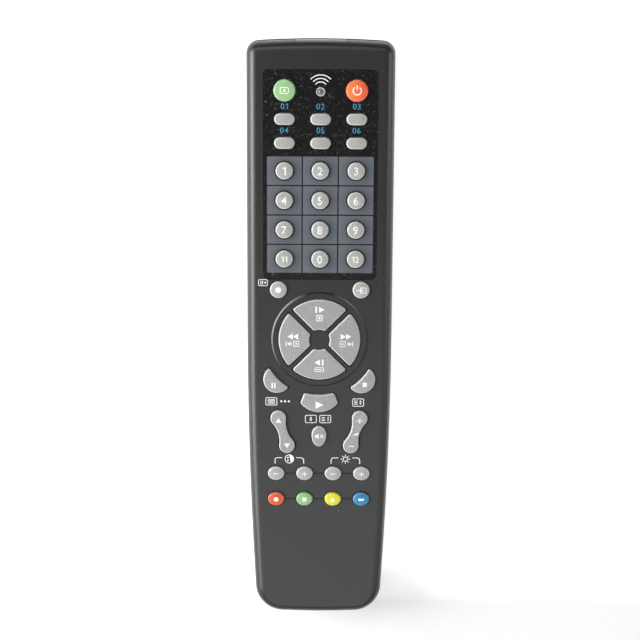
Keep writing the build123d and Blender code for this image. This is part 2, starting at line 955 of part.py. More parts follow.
with BuildPart() as board_parts:
    extrude(
        disc_section(board_bottom - capacitor_height, ((capacitor_x, capacitor_y),), capacitor_radius),
        amount=capacitor_height,
    )
    extrude(
        block_section(
            board_bottom - resonator_height,
            resonator_x - resonator_width / 2,
            resonator_x + resonator_width / 2,
            capacitor_y - resonator_depth / 2,
            capacitor_y + resonator_depth / 2,
        ),
        amount=resonator_height,
    )
    for resistor in range(resistor_count):
        resistor_x = (resistor - (resistor_count - 1) / 2) * resistor_spacing
        extrude(
            block_section(
                board_bottom - resistor_height,
                resistor_x - resistor_width / 2,
                resistor_x + resistor_width / 2,
                resistor_y - resistor_length / 2,
                resistor_y + resistor_length / 2,
            ),
            amount=resistor_height,
        )
save(board_parts.part, "board_parts")


# Bottom half of the case, with the battery bay, and the cover cut from the same blank

bay_half = bay_width / 2
cover_half = cover_width / 2
foot_overrun_y = -half_length - overrun


def cover_profile(margin):
    """Cross-section of the cover, a plate with a tongue along each side."""
    tongue_bottom = cover_thickness - cover_tongue_thickness - margin
    plate_edge = cover_half + margin
    tongue_edge = cover_half + cover_tongue + margin
    top = cover_thickness + margin
    with BuildSketch(Plane.XZ.offset(-cover_head_y - margin)) as section:
        with BuildLine():
            Polyline(
                (plate_edge, -overrun),
                (plate_edge, tongue_bottom),
                (tongue_edge, tongue_bottom),
                (tongue_edge, top),
                (-tongue_edge, top),
                (-tongue_edge, tongue_bottom),
                (-plate_edge, tongue_bottom),
                (-plate_edge, -overrun),
                close=True,
            )
        make_face()
    return section.sketch


with BuildPart() as bottom_blank:
    extrude(case_section(0, 0), amount=seam_height)
    fillet(bottom_blank.faces().sort_by(Axis.Z)[0].edges(), back_radius)

with BuildPart() as bottom_case:
    add(bottom_blank.part)
    extrude(case_section(seam_height, wall - lip_thickness), amount=lip_height)
    extrude(case_section(floor, wall), amount=seam_height + lip_height - floor, mode=Mode.SUBTRACT)
    extrude(
        block_section(
            floor,
            -bay_half - bay_wall,
            bay_half + bay_wall,
            bay_bottom_y - bay_wall,
            bay_top_y + bay_wall,
        ),
        amount=bay_ceiling + bay_roof - floor,
    )
    for side in (-1, 1):
        rail_edges = sorted((side * bay_half, side * (cover_half + cover_tongue + rail_reach)))
        extrude(
            block_section(
                floor,
                rail_edges[0],
                rail_edges[1],
                foot_y + wall,
                cover_head_y,
            ),
            amount=rail_height,
        )
    extrude(disc_section(floor / 2, screw_places, boss_radius), amount=seam_height - floor / 2)
    post_places = [(side * post_x, post_y) for side in (-1, 1) for post_y in posts_y]
    extrude(disc_section(floor / 2, post_places, post_radius), amount=board_bottom - floor / 2)
    extrude(
        block_section(slot_depth, -bay_half, bay_half, bay_bottom_y, bay_top_y),
        amount=bay_ceiling - slot_depth,
        mode=Mode.SUBTRACT,
    )
    extrude(
        cover_profile(cover_clearance),
        amount=cover_head_y - foot_overrun_y,
        mode=Mode.SUBTRACT,
    )
    extrude(
        disc_section(0, screw_places, screw_reach),
        amount=screw_recess_depth,
        mode=Mode.SUBTRACT,
    )
    extrude(
        disc_section(0, screw_places, screw_shank_radius + screw_hole_clearance),
        amount=seam_height,
        mode=Mode.SUBTRACT,
    )
save(bottom_case.part, "bottom_case")

with BuildPart() as battery_cover:
    add(bottom_blank.part)
    extrude(cover_profile(0), amount=cover_head_y - foot_overrun_y, mode=Mode.INTERSECT)
    for groove in range(grip_count):
        groove_y = grip_y - groove * grip_pitch
        extrude(
            block_section(
                0,
                -grip_width / 2,
                grip_width / 2,
                groove_y - grip_groove / 2,
                groove_y + grip_groove / 2,
            ),
            amount=grip_depth,
            mode=Mode.SUBTRACT,
        )
save(battery_cover.part, "battery_cover")


# Cells, the springs and plates at their ends, and the case screws

def make_cell(side, name):
    """One cell lying along Y, its nub towards the far end on the left and towards the foot on the right."""
    nub_way = -side
    room = bay_length - 2 * contact_thickness
    nub_end_y = bay_top_y - contact_thickness if nub_way > 0 else bay_top_y - contact_thickness - room
    shoulder = nub_end_y - nub_way * cell_nub
    with BuildPart() as cell:
        with BuildSketch(Plane.XZ.offset(-shoulder)):
            with Locations((side * cell_x, cell_axis_height)):
                Circle(cell_radius)
        extrude(amount=nub_way * cell_body)
        with BuildSketch(Plane.XZ.offset(-shoulder)):
            with Locations((side * cell_x, cell_axis_height)):
                Circle(cell_nub_radius)
        extrude(amount=-nub_way * cell_nub)
    save(cell.part, name)


make_cell(-1, "cell_left")
make_cell(1, "cell_right")

with BuildPart() as battery_contacts:
    for end_y, way in ((bay_top_y, -1), (bay_bottom_y, 1)):
        edges = sorted((end_y, end_y + way * contact_thickness))
        for side in (-1, 1):
            extrude(
                block_section(
                    cell_axis_height - contact_height / 2,
                    side * cell_x - contact_width / 2,
                    side * cell_x + contact_width / 2,
                    edges[0],
                    edges[1],
                ),
                amount=contact_height,
            )
save(battery_contacts.part, "battery_contacts")

spring_length = spring_room - 2 * spring_wire - 2 * spring_clearance

with BuildPart() as battery_springs:
    for side in (-1, 1):
        foot_end = bay_bottom_y + contact_thickness if side < 0 else bay_top_y - contact_thickness
        way = -side
        start_y = foot_end + way * (spring_clearance + spring_wire)
        with BuildLine() as coil:
            Helix(
                spring_length / spring_turns,
                spring_length,
                spring_radius,
                center=(side * cell_x, start_y, cell_axis_height),
                direction=(0, way, 0),
            )
        with BuildSketch(Plane(origin=coil.line @ 0, z_dir=coil.line % 0)):
            Circle(spring_wire)
        sweep(path=coil.line)
save(battery_springs.part, "battery_springs")

with BuildPart() as case_screws:
    for screw_x, screw_y in screw_places:
        place = ((screw_x, screw_y),)
        head_bottom = screw_recess_depth - screw_head_height
        extrude(disc_section(head_bottom, place, screw_head_radius), amount=screw_head_height)
        extrude(disc_section(screw_recess_depth, place, screw_shank_radius), amount=screw_length)
        for turn in (0, 90):
            with BuildSketch(Plane(Location((screw_x, screw_y, head_bottom), (0, 0, turn)))):
                Rectangle(screw_slot_length, screw_slot_width)
            extrude(amount=screw_slot_depth, mode=Mode.SUBTRACT)
save(case_screws.part, "case_screws")
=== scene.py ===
"""Looks of a hand-held remote control: finishes, key marks, prints and studio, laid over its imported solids.

Metres. +Z comes out of the key face, +Y points to the infrared end, and the origin is on the rest plane,
under the middle of the case.
"""

from math import cos, radians, sin

import bmesh
import bpy
from mathutils import Color, Matrix, Vector
from mathutils.bvhtree import BVHTree


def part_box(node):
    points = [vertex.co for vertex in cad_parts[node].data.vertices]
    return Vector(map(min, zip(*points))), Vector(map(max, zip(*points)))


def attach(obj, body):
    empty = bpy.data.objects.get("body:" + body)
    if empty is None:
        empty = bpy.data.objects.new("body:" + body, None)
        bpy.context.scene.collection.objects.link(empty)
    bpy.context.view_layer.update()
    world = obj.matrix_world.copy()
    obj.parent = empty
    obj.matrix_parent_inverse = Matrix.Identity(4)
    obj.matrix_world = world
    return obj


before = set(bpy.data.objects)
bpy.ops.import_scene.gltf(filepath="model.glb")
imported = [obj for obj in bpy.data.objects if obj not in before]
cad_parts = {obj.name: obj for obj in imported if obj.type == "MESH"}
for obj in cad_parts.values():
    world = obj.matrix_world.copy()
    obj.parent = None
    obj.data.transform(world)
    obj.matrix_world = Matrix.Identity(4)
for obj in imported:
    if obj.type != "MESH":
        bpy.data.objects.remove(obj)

bl_info = {
    "name": "Remote Control Looks",
    "version": (1, 0, 0),
    "blender": (4, 5, 0),
    "location": "3D View > Sidebar > Remote",
    "description": "Dresses a packed remote control with its plastics, inks, marks and studio",
    "category": "Object",
}

mm = 0.001
root_body = "remote"
number_keys = [f"key_number_{number}" for number in range(1, 13)]
device_keys = [f"key_device_{number}" for number in range(1, 7)]
pad_keys = ["key_pad_up", "key_pad_left", "key_pad_down", "key_pad_right"]
grey_keys = ["key_record", "key_source", "key_tint_down", "key_tint_up", "key_light_down", "key_light_up"]
shaped_keys = ["key_pause", "key_stop", "key_play", "key_mute", "key_channel", "key_volume"]
coloured_keys = ["key_set", "key_power", "key_red", "key_green", "key_yellow", "key_blue"]

# Places of the prints and of the marks on shaped keys, read off the photograph and brought to the face
hold_print = (-19.2 * mm, 18.7 * mm)
page_print = (-16.4 * mm, -22.6 * mm)
page_dots_print = (-11.7 * mm, -22.6 * mm)
freeze_print = (13.4 * mm, -22.9 * mm)
size_print = (-2.8 * mm, -28.8 * mm)
list_print = (2.15 * mm, -28.8 * mm)
tint_print = (-10.2 * mm, -43.1 * mm)
light_print = (9.2 * mm, -43.1 * mm)
pause_mark = (-15.6 * mm, -16.7 * mm)
stop_mark = (15.6 * mm, -16.3 * mm)
play_mark = (0.1 * mm, -23.5 * mm)
mute_mark = (0, -34.6 * mm)
channel_marks = ((-13.9 * mm, -29.0 * mm), (-11.0 * mm, -38.0 * mm))
volume_marks = ((14.0 * mm, -29.1 * mm), (11.1 * mm, -38.1 * mm))
volume_wedge_mark = (12.4 * mm, -33.7 * mm)


# Settings

def tint(name, description, red, green, blue):
    """A colour setting, its default given in 8-bit screen values."""
    default = tuple((Color((red, green, blue)) / 255).from_srgb_to_scene_linear())
    return bpy.props.FloatVectorProperty(
        name=name, description=description, default=default, size=3, min=0, max=1, subtype="COLOR"
    )


def length(name, description, millimetres):
    """A length setting, its default given in millimetres."""
    return bpy.props.FloatProperty(
        name=name, description=description, default=millimetres * mm, min=0, precision=5, unit="LENGTH"
    )


def share(name, description, default):
    """A setting between nothing and one."""
    return bpy.props.FloatProperty(
        name=name, description=description, default=default, min=0, max=1, subtype="FACTOR"
    )


def angle(name, description, degrees):
    """An angle setting, its default given in degrees."""
    return bpy.props.FloatProperty(
        name=name, description=description, default=radians(degrees), subtype="ANGLE"
    )


def watts(name, description, default):
    """The power of a lamp."""
    return bpy.props.FloatProperty(name=name, description=description, default=default, min=0, unit="POWER")


class RemoteColours(bpy.types.PropertyGroup):
    """Colours of the plastics, the inks and the parts inside."""

    case: tint("Case", "Dark satin plastic of both case halves and the cover", 27, 27, 28)
    # paler case rims: partly rubbed wear, partly a painted highlight on the rounded shoulders
    case_rim: tint("Case rim", "The same plastic where its corners are rubbed", 70, 70, 70)
    # painted highlight: the ridge round the pad is paler on its upper sides, standing in for the glint there
    ridge: tint("Ridge", "The same plastic, polished on the ridge round the pad", 150, 150, 150)
    fascia: tint("Fascia", "Black inlay round the upper keys", 9, 9, 10)
    fascia_speck: tint("Fascia speck", "Pale grains in the black inlay", 84, 84, 86)
    tile_edge: tint("Tile edge", "Blue-grey tiles near their edges", 97, 101, 107)
    # painted shade: the tiles darken round each raised key
    tile_middle: tint("Tile middle", "Blue-grey tiles round their keys", 70, 75, 85)
    window: tint("Window", "Infrared window", 14, 11, 13)
    lamp: tint("Lamp", "Indicator lamp while it is off", 92, 94, 98)
    ring: tint("Ring", "Ring round the indicator lamp", 178, 178, 180)
    key: tint("Key", "Light grey keys", 160, 160, 157)
    # paler key rims: partly rubbed wear, partly a painted highlight along the rounded rims
    key_rim: tint("Key rim", "Light grey keys along their rounded rims", 222, 222, 219)
    pad: tint("Pad key", "Quarter keys, rockers and other shaped keys", 146, 146, 145)
    set_key: tint("Set key", "Pale green key", 150, 194, 134)
    power_key: tint("Power key", "Orange-red key", 232, 80, 30)
    # painted light: the paler orange on the power key's left side stands for light falling from the left
    power_side: tint("Power key side", "The orange of the power key's left side", 238, 134, 56)
    red_key: tint("Red key", "Red colour key", 208, 84, 14)
    green_key: tint("Green key", "Green colour key", 134, 182, 118)
    yellow_key: tint("Yellow key", "Yellow colour key", 216, 211, 38)
    blue_key: tint("Blue key", "Blue colour key", 0, 122, 176)
    white_ink: tint("White ink", "Marks on the keys and on the case", 240, 240, 237)
    label_ink: tint("Label ink", "Blue numerals over the device keys", 48, 150, 182)
    green_ink: tint("Green ink", "Mark on the set key", 231, 246, 226)
    dust: tint("Dust", "Dust settled on upper faces", 150, 148, 143)
    carbon: tint("Carbon", "Contact pills and contact pads", 24, 24, 25)
    mat: tint("Mat", "Key mat", 104, 106, 108)
    board: tint("Board", "Circuit board", 22, 84, 52)
    track: tint("Track", "Copper tracks under the board's lacquer", 58, 124, 74)
    chip: tint("Chip", "Controller package", 26, 26, 28)
    wrap: tint("Cell wrap", "Sleeve of the cells", 44, 66, 104)
    wrap_band: tint("Cell band", "Band at the plus end of the cells", 186, 190, 196)
    steel: tint("Steel", "Nickel-plated contacts, springs and screws", 196, 194, 190)
    resonator: tint("Resonator", "Amber resonator on the board", 204, 138, 42)
    sleeve: tint("Sleeve", "Sleeve of the capacitor", 30, 36, 60)


class RemoteMarks(bpy.types.PropertyGroup):
    """Sizes of the marks and prints."""

    ink_thickness: length("Ink thickness", "Whole thickness of a printed mark", 0.05)
    ink_rise: length("Ink rise", "How far a mark stands proud of its surface", 0.01)
    ink_reach: length("Ink reach", "Longest edge of a mark before it is split to follow a crown", 0.7)
    stroke: length("Stroke", "Line width of small icons", 0.27)
    digit_height: length("Digit height", "Height of one digit on a number key", 2.75)
    pair_height: length("Pair height", "Height of two digits on a number key", 2.1)
    label_height: length("Label height", "Height of the numerals over the device keys", 1.95)
    label_rise: length("Label distance", "From the middle of a device key to its numeral", 4.2)
    digit_weight: share("Digit weight", "How much bolder than plain the digits on the keys are", 0.014)
    label_weight: share("Label weight", "How much bolder than plain the device numerals are", 0.002)
    digit_space: share("Digit space", "Gap between two digits, as a share of their height", 0.16)
    arrow_height: length("Arrow height", "Height of the arrows on the round pad", 2.1)
    arrow_width: length("Arrow width", "Width of one arrow on the round pad", 1.85)
    icon_width: length("Icon width", "Width of a boxed icon on the case", 4.0)
    icon_height: length("Icon height", "Height of a boxed icon on the case", 2.85)
    icon_corner: length("Icon corner", "Corner radius of a boxed icon", 0.5)
    small_icon: length("Small icon", "Side of a boxed icon on a pad key", 2.1)
    sign_width: length("Sign width", "Width of a plus or minus sign", 1.9)
    bracket_half: length("Bracket half", "From a print's middle to its bracket's foot", 4.95)
    bracket_drop: length("Bracket drop", "Height of the brackets", 2.1)


class RemoteStudio(bpy.types.PropertyGroup):
    """Camera and light."""

    tilt: angle("Tilt", "Camera's lean from straight above", 11)
    roll: angle("Roll", "Camera's turn about the upright", 0.3)
    distance: length("Distance", "From the camera to its target on the face", 510)
    target_y: length("Target", "How far up the face the camera looks", 6.05)
    target_x: length("Aside", "How far right of the middle the camera looks", 0.16)
    lens: bpy.props.FloatProperty(
        name="Lens", description="Focal length in millimetres on a 36 mm sensor", default=84.5, min=1
    )
    sky: share("Sky", "Strength of the even light from all round", 0.12)
    key_power: watts("Key light", "Softbox high beyond the infrared end", 1.0)
    strip_power: watts("Strip light", "Long softbox on the left", 6.6)
    end_power: watts("End light", "Small softbox on the left, near the infrared end", 1.1)
    foot_power: watts("Foot light", "Softbox over the foot end", 1.2)
    fill_power: watts("Fill light", "Long weak softbox on the right", 0.7)
    corner_power: watts("Corner light", "Small softbox on the right, near the infrared end", 0.5)
    floor_glow: share("Floor glow", "How much the floor is lifted to white where it is seen", 0.72)
    foot_glow: share("Foot glow", "The same lift beyond the foot, where the shadow shows", 0.12)


def colours():
    """The colour settings."""
    return bpy.context.scene.remote_colours


def marks():
    """The mark settings."""
    return bpy.context.scene.remote_marks


def studio():
    """The studio settings."""
    return bpy.context.scene.remote_studio


# Places taken from the frame

def middle_of(node):
    """The middle of a CAD node's box."""
    low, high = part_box(node)
    return (low + high) / 2


def pad_middle_y():
    """How far up the face the middle of the round pad lies."""
    return (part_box("key_pad_up")[1].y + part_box("key_pad_down")[0].y) / 2


# Short calls for building node trees

def fill_inputs(tree, node, values):
    """Gives a node its inputs, as constants or as sockets to join."""
    for key, value in values.items():
        if isinstance(value, bpy.types.NodeSocket):
            tree.links.new(value, node.inputs[key])
        else:
            node.inputs[key].default_value = value


def add_node(tree, kind, inputs=None, **settings):
    """Adds a node with its inputs and its settings."""
    node = tree.nodes.new(kind)
    for key, value in settings.items():
        setattr(node, key, value)
    fill_inputs(tree, node, inputs or {})
    return node


def combine(tree, operation, first, second=0.0):
    """One sum of two values."""
    return add_node(tree, "ShaderNodeMath", {0: first, 1: second}, operation=operation).outputs[0]


def times(tree, product, *factors):
    """The product of several values."""
    for factor in factors:
        product = combine(tree, "MULTIPLY", product, factor)
    return product


def unsigned(tree, value):
    """A value without its sign."""
    return combine(tree, "ABSOLUTE", value)


def off_from(tree, value, level):
    """How far a value is from a level, either way."""
    return unsigned(tree, combine(tree, "SUBTRACT", value, level))


def ramp(tree, value, start, end, low=0.0, high=1.0):
    """A value brought from one range to another, and held at its ends."""
    inputs = {"Value": value, "From Min": start, "From Max": end, "To Min": low, "To Max": high}
    return add_node(tree, "ShaderNodeMapRange", inputs).outputs["Result"]


def between(tree, part, low, high):
    """A value from nothing to one, brought between two others."""
    return ramp(tree, part, 0.0, 1.0, low, high)


def mix(tree, factor, first, second):
    """Two colours mixed."""
    def whole(colour):
        return colour if isinstance(colour, bpy.types.NodeSocket) else (*colour, 1)
    inputs = {0: factor, 6: whole(first), 7: whole(second)}
    return add_node(tree, "ShaderNodeMix", inputs, data_type="RGBA").outputs[2]


def object_place(tree):
    """Place on the object, which doesn't move with it."""
    return add_node(tree, "ShaderNodeTexCoord").outputs["Object"]


def axis_values(tree, vector):
    """The three parts of a vector."""
    return add_node(tree, "ShaderNodeSeparateXYZ", {0: vector}).outputs


def place_values(tree):
    """X, Y and Z of the place on the object."""
    return axis_values(tree, object_place(tree))


def normal_values(tree):
    """X, Y and Z of the way that a face looks."""
    return axis_values(tree, add_node(tree, "ShaderNodeTexCoord").outputs["Normal"])


def noise(tree, scale, detail=2.0, vector=None):
    """Soft noise between nothing and one."""
    place = vector or object_place(tree)
    node = add_node(tree, "ShaderNodeTexNoise", {"Vector": place, "Scale": scale, "Detail": detail})
    return node.outputs["Fac"]


def spread(tree, cloud, low=0.0, high=1.0):
    """Soft noise whose middle range is spread between two values."""
    return ramp(tree, cloud, start=0.3, end=0.7, low=low, high=high)


def relief(tree, height, depth):
    """A height as a bump of a real depth."""
    bump = add_node(tree, "ShaderNodeBump", {"Height": height, "Distance": depth, "Strength": 1.0})
    return bump.outputs["Normal"]


# Effects that several materials share

def new_effect(name, inputs, outputs):
    """An empty node group with named numbers in and out."""
    group = bpy.data.node_groups.new(name, "ShaderNodeTree")
    for label, value in inputs.items():
        socket = group.interface.new_socket(name=label, in_out="INPUT", socket_type="NodeSocketFloat")
        socket.default_value = value
    for label in outputs:
        group.interface.new_socket(name=label, in_out="OUTPUT", socket_type="NodeSocketFloat")
    entry = group.nodes.new("NodeGroupInput")
    leave = group.nodes.new("NodeGroupOutput")
    return group, entry.outputs, leave.inputs


def make_grain_effect():
    """Fine moulded grain: a speckle for colour and gloss, and a height for relief."""
    coarse_scale_share = 0.12
    fine_weight = 0.8
    coarse_weight = 0.5
    inputs = {"Scale": 2500.0, "Low": 0.36, "High": 0.64}
    group, given, result = new_effect("Moulded Grain", inputs, ("Speckle", "Height"))
    fine = noise(group, given["Scale"], detail=3.0)
    coarse = noise(group, times(group, given["Scale"], coarse_scale_share))
    group.links.new(ramp(group, fine, given["Low"], given["High"]), result["Speckle"])
    blend = combine(group, "ADD", times(group, fine, fine_weight), times(group, coarse, coarse_weight))
    group.links.new(blend, result["Height"])


def make_rim_effect():
    """How far a face has turned away from straight up, between two levels of its normal."""
    # the paler rim colour this mask brings is partly rubbed wear, partly a painted highlight
    group, given, result = new_effect("Rounded Rim", {"Flat": 0.985, "Turned": 0.75}, ("Mask",))
    level = unsigned(group, normal_values(group)[2])
    group.links.new(ramp(group, level, given["Flat"], given["Turned"]), result["Mask"])


def make_dust_effect():
    """Specks of dust, drifted together, on faces that look up."""
    group, given, result = new_effect("Settled Dust", {"Scale": 900.0, "Cover": 0.3}, ("Mask",))
    upward = ramp(group, normal_values(group)[2], start=0.3, end=0.9)
    specks = ramp(group, noise(group, given["Scale"], detail=4.0), start=0.66, end=0.72)
    drifts = ramp(group, noise(group, scale=60.0, detail=3.0), start=0.42, end=0.7)
    group.links.new(times(group, specks, drifts, given["Cover"], upward), result["Mask"])


def make_scratch_effect():
    """Faint long hairlines from handling."""
    slant = (0, 0, radians(24))
    stretch = (14, 1, 1)
    noise_middle = 0.5
    group, given, result = new_effect("Hairlines", {"Scale": 90.0}, ("Mask",))
    inputs = {"Vector": object_place(group), "Rotation": slant, "Scale": stretch}
    turned = add_node(group, "ShaderNodeMapping", inputs)
    lines = noise(group, given["Scale"], detail=3.0, vector=turned.outputs["Vector"])
    ridge = off_from(group, lines, noise_middle)
    group.links.new(ramp(group, ridge, start=0.006, end=0.0), result["Mask"])


def place_effect(tree, name, **values):
    """Places a shared effect in a material with its own values."""
    node = add_node(tree, "ShaderNodeGroup", node_tree=bpy.data.node_groups[name])
    fill_inputs(tree, node, {label.title(): value for label, value in values.items()})
    return node.outputs


# Materials

def new_material(name):
    """A material with its node tree and its principled shader."""
    material = bpy.data.materials.new(name)
    material.use_nodes = True
    return material, material.node_tree, material.node_tree.nodes["Principled BSDF"]


def moulded(name, paint, rim_wear_and_sheen, *, grain, depth, roughness, speckle, rim_share,
            specks=(0.36, 0.64), rim=(0.985, 0.75), dust=0.25, coat=0.0, specular=0.5):
    """Moulded plastic with grain, paler rims that are partly rubbed wear and partly a painted highlight,
    hairlines and a little dust.
    """
    hairline_dulling = 0.08
    material, tree, shader = new_material(name)
    base = paint(tree) if callable(paint) else paint
    texture = place_effect(tree, "Moulded Grain", scale=grain, low=specks[0], high=specks[1])
    rims = place_effect(tree, "Rounded Rim", flat=rim[0], turned=rim[1])["Mask"]
    hairlines = place_effect(tree, "Hairlines")["Mask"]
    settled = place_effect(tree, "Settled Dust", cover=dust)["Mask"]
    colour = mix(tree, between(tree, texture["Speckle"], low=0.0, high=speckle), base, rim_wear_and_sheen)
    # paler rims: partly rubbed wear, partly a painted highlight
    colour = mix(tree, times(tree, rims, rim_share), colour, rim_wear_and_sheen)
    gloss = between(tree, texture["Speckle"], *roughness)
    rubbed = combine(tree, "ADD", gloss, times(tree, hairlines, hairline_dulling))
    fill_inputs(tree, shader, {
        "Base Color": mix(tree, settled, colour, colours().dust),
        "Roughness": combine(tree, "ADD", rubbed, settled),
        "Normal": relief(tree, texture["Height"], depth),
        "Coat Weight": coat,
        "Coat Roughness": 0.12,
        "Specular IOR Level": specular,
    })
    return material


def case_paint(tree):
    """Dark plastic, with a painted highlight on the upper sides of the ridge round the pad."""
    lean = 0.45
    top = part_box("top_case")[1].z
    middle_y = pad_middle_y()
    x, y, z = place_values(tree)
    level = normal_values(tree)[2]
    # painted highlight: it leans to the upper left and upper right of the ridge, where the light falls
    leaning = combine(tree, "SUBTRACT", y, times(tree, x, lean))
    painted_highlight = times(
        tree,
        ramp(tree, level, start=0.5, end=0.6),
        ramp(tree, level, start=0.9, end=0.8),
        ramp(tree, z, start=top - 0.6 * mm, end=top - 0.5 * mm),
        ramp(tree, unsigned(tree, x), start=4 * mm, end=11 * mm),
        ramp(tree, leaning, start=middle_y - 4 * mm, end=middle_y + 12 * mm),
    )
    return mix(tree, painted_highlight, colours().case, colours().ridge)


def make_case_material():
    """Dark satin plastic of the case halves and the battery cover."""
    return moulded(
        "satin_case_plastic", case_paint, colours().case_rim, grain=3200.0, depth=0.012 * mm,
        roughness=(0.3, 0.42), speckle=0.1, rim=(0.9, 0.3), rim_share=0.2, specular=0.8,
    )


def make_fascia_material():
    """Black inlay with pale grains."""
    return moulded(
        "grained_black_inlay", colours().fascia, colours().fascia_speck, grain=1700.0, depth=0.02 * mm,
        roughness=(0.3, 0.5), speckle=0.55, specks=(0.6, 0.7), rim_share=0.3, dust=0.4,
    )


def tile_paint(tree):
    """Blue-grey with painted shade that deepens round each key and a painted paler left side, dark in the
    seams.
    """
    seam_outer = 0.2 * mm
    seam_inner = 0.26 * mm
    first = middle_of("key_number_1")
    half_column = (middle_of("key_number_2").x - first.x) / 2
    half_row = (first.y - middle_of("key_number_4").y) / 2
    # a metre up and down takes in every height
    half = Vector((half_column, half_row, 1))
    inputs = {0: object_place(tree), 1: (first.x, first.y, 0)}
    offset = add_node(tree, "ShaderNodeVectorMath", inputs, operation="SUBTRACT").outputs[0]
    inputs = {0: offset, 1: half, 2: -half}
    wrapped = add_node(tree, "ShaderNodeVectorMath", inputs, operation="WRAP").outputs[0]
    x, y, _ = axis_values(tree, wrapped)
    seam_x = ramp(tree, unsigned(tree, x), half.x - seam_inner, half.x - seam_outer)
    seam_y = ramp(tree, unsigned(tree, y), half.y - seam_inner, half.y - seam_outer)
    seam = combine(tree, "MAXIMUM", seam_x, seam_y)
    flat = add_node(tree, "ShaderNodeCombineXYZ", {0: x, 1: y})
    reach = add_node(tree, "ShaderNodeVectorMath", {0: flat.outputs[0]}, operation="LENGTH")
    # painted shade: darker towards each key
    distance = ramp(tree, reach.outputs["Value"], start=3.0 * mm, end=6.8 * mm)
    # painted light: each tile is paler on its left, as if lit from the left
    side = ramp(tree, x, start=-6.0 * mm, end=6.0 * mm, low=0.3, high=-0.15)
    shaded_tone = mix(tree, combine(tree, "ADD", distance, side), colours().tile_middle, colours().tile_edge)
    return mix(tree, seam, shaded_tone, colours().fascia)


def make_tile_material():
    """Satin blue-grey tiles."""
    return moulded(
        "blue_grey_tiles", tile_paint, colours().tile_edge, grain=2600.0, depth=0.012 * mm,
        roughness=(0.4, 0.52), speckle=0.25, rim_share=0.5,
    )


def make_key_material(name, paint, rim_wear_and_sheen, coat=0.15):
    """Key plastic over its black contact pill."""
    pill_rise = 0.75 * mm
    blur = 0.01 * mm

    def cap_over_pill(tree):
        pill_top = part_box("keypad_mat")[1].z + pill_rise
        above = ramp(tree, place_values(tree)[2], pill_top, pill_top + blur)
        return mix(tree, above, colours().carbon, paint(tree) if callable(paint) else paint)
    return moulded(
        name, cap_over_pill, rim_wear_and_sheen, grain=1900.0, depth=0.006 * mm, roughness=(0.3, 0.42),
        speckle=0.18, rim=(0.992, 0.8), rim_share=0.85, dust=0.12, coat=coat,
    )


def power_paint(tree):
    """Orange on the left of the power key, orange-red on its right: the paler left side is painted light."""
    low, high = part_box("key_power")
    along = ramp(tree, place_values(tree)[0], low.x, high.x)
    return mix(tree, along, colours().power_side, colours().power_key)


def make_window_material():
    """Glossy infrared-pass plastic."""
    return moulded(
        "infrared_window", colours().window, colours().fascia_speck, grain=700.0, depth=0.002 * mm,
        roughness=(0.05, 0.12), speckle=0.05, rim_share=0.0, dust=0.1, coat=0.5,
    )


def lens_paint(tree):
    """Dull lens of the indicator, darker at the middle."""
    middle = middle_of("indicator_lamp")
    inputs = {0: object_place(tree), 1: (middle.x, middle.y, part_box("indicator_lamp")[1].z)}
    offset = add_node(tree, "ShaderNodeVectorMath", inputs, operation="DISTANCE")
    reach = ramp(tree, offset.outputs["Value"], start=0.3 * mm, end=1.1 * mm)
    return mix(tree, reach, colours().fascia_speck, colours().lamp)


def make_lamp_material():
    """Lens of the indicator while it is off."""
    return moulded(
        "indicator_lens", lens_paint, colours().ring, grain=900.0, depth=0.002 * mm,
        roughness=(0.08, 0.16), speckle=0.05, rim_share=0.4, dust=0.05, coat=0.6,
    )


def make_rubber_material():
    """Soft matt key mat."""
    return moulded(
        "mat_rubber", colours().mat, colours().tile_edge, grain=1500.0, depth=0.02 * mm,
        roughness=(0.62, 0.8), speckle=0.2, rim_share=0.15, dust=0.5,
    )


def make_carbon_material():
    """Matt carbon print of the contact pads."""
    return moulded(
        "carbon_print", colours().carbon, colours().fascia_speck, grain=4200.0, depth=0.006 * mm,
        roughness=(0.55, 0.72), speckle=0.35, rim_share=0.3, dust=0.2,
    )


def make_ink_material(name, under):
    """Printed ink, slightly thin in places."""
    material, tree, shader = new_material(name)
    thin = ramp(tree, noise(tree, scale=1400.0, detail=3.0), start=0.55, end=0.8, high=0.4)
    fill_inputs(tree, shader, {
        "Base Color": mix(tree, thin, getattr(colours(), name), under),
        "Roughness": spread(tree, noise(tree, scale=2400.0), low=0.38, high=0.55),
        "Normal": relief(tree, noise(tree, scale=3000.0), depth=0.004 * mm),
    })
    return material


def make_steel_material():
    """Nickel-plated steel with a drawn grain and dull stains."""
    dull_share = 0.62
    drawn_dulling = 0.2
    material, tree, shader = new_material("plated_steel")
    texture = place_effect(tree, "Moulded Grain", scale=1500.0)
    hairlines = place_effect(tree, "Hairlines", scale=160.0)["Mask"]
    dull = dull_share * colours().steel
    stain = ramp(tree, noise(tree, scale=260.0, detail=4.0), start=0.45, end=0.75, high=0.5)
    gloss = between(tree, texture["Speckle"], low=0.2, high=0.34)
    fill_inputs(tree, shader, {
        "Base Color": mix(tree, stain, colours().steel, dull),
        "Roughness": combine(tree, "ADD", gloss, times(tree, hairlines, drawn_dulling)),
        "Metallic": 1.0,
        "Normal": relief(tree, texture["Height"], depth=0.004 * mm),
    })
    return material


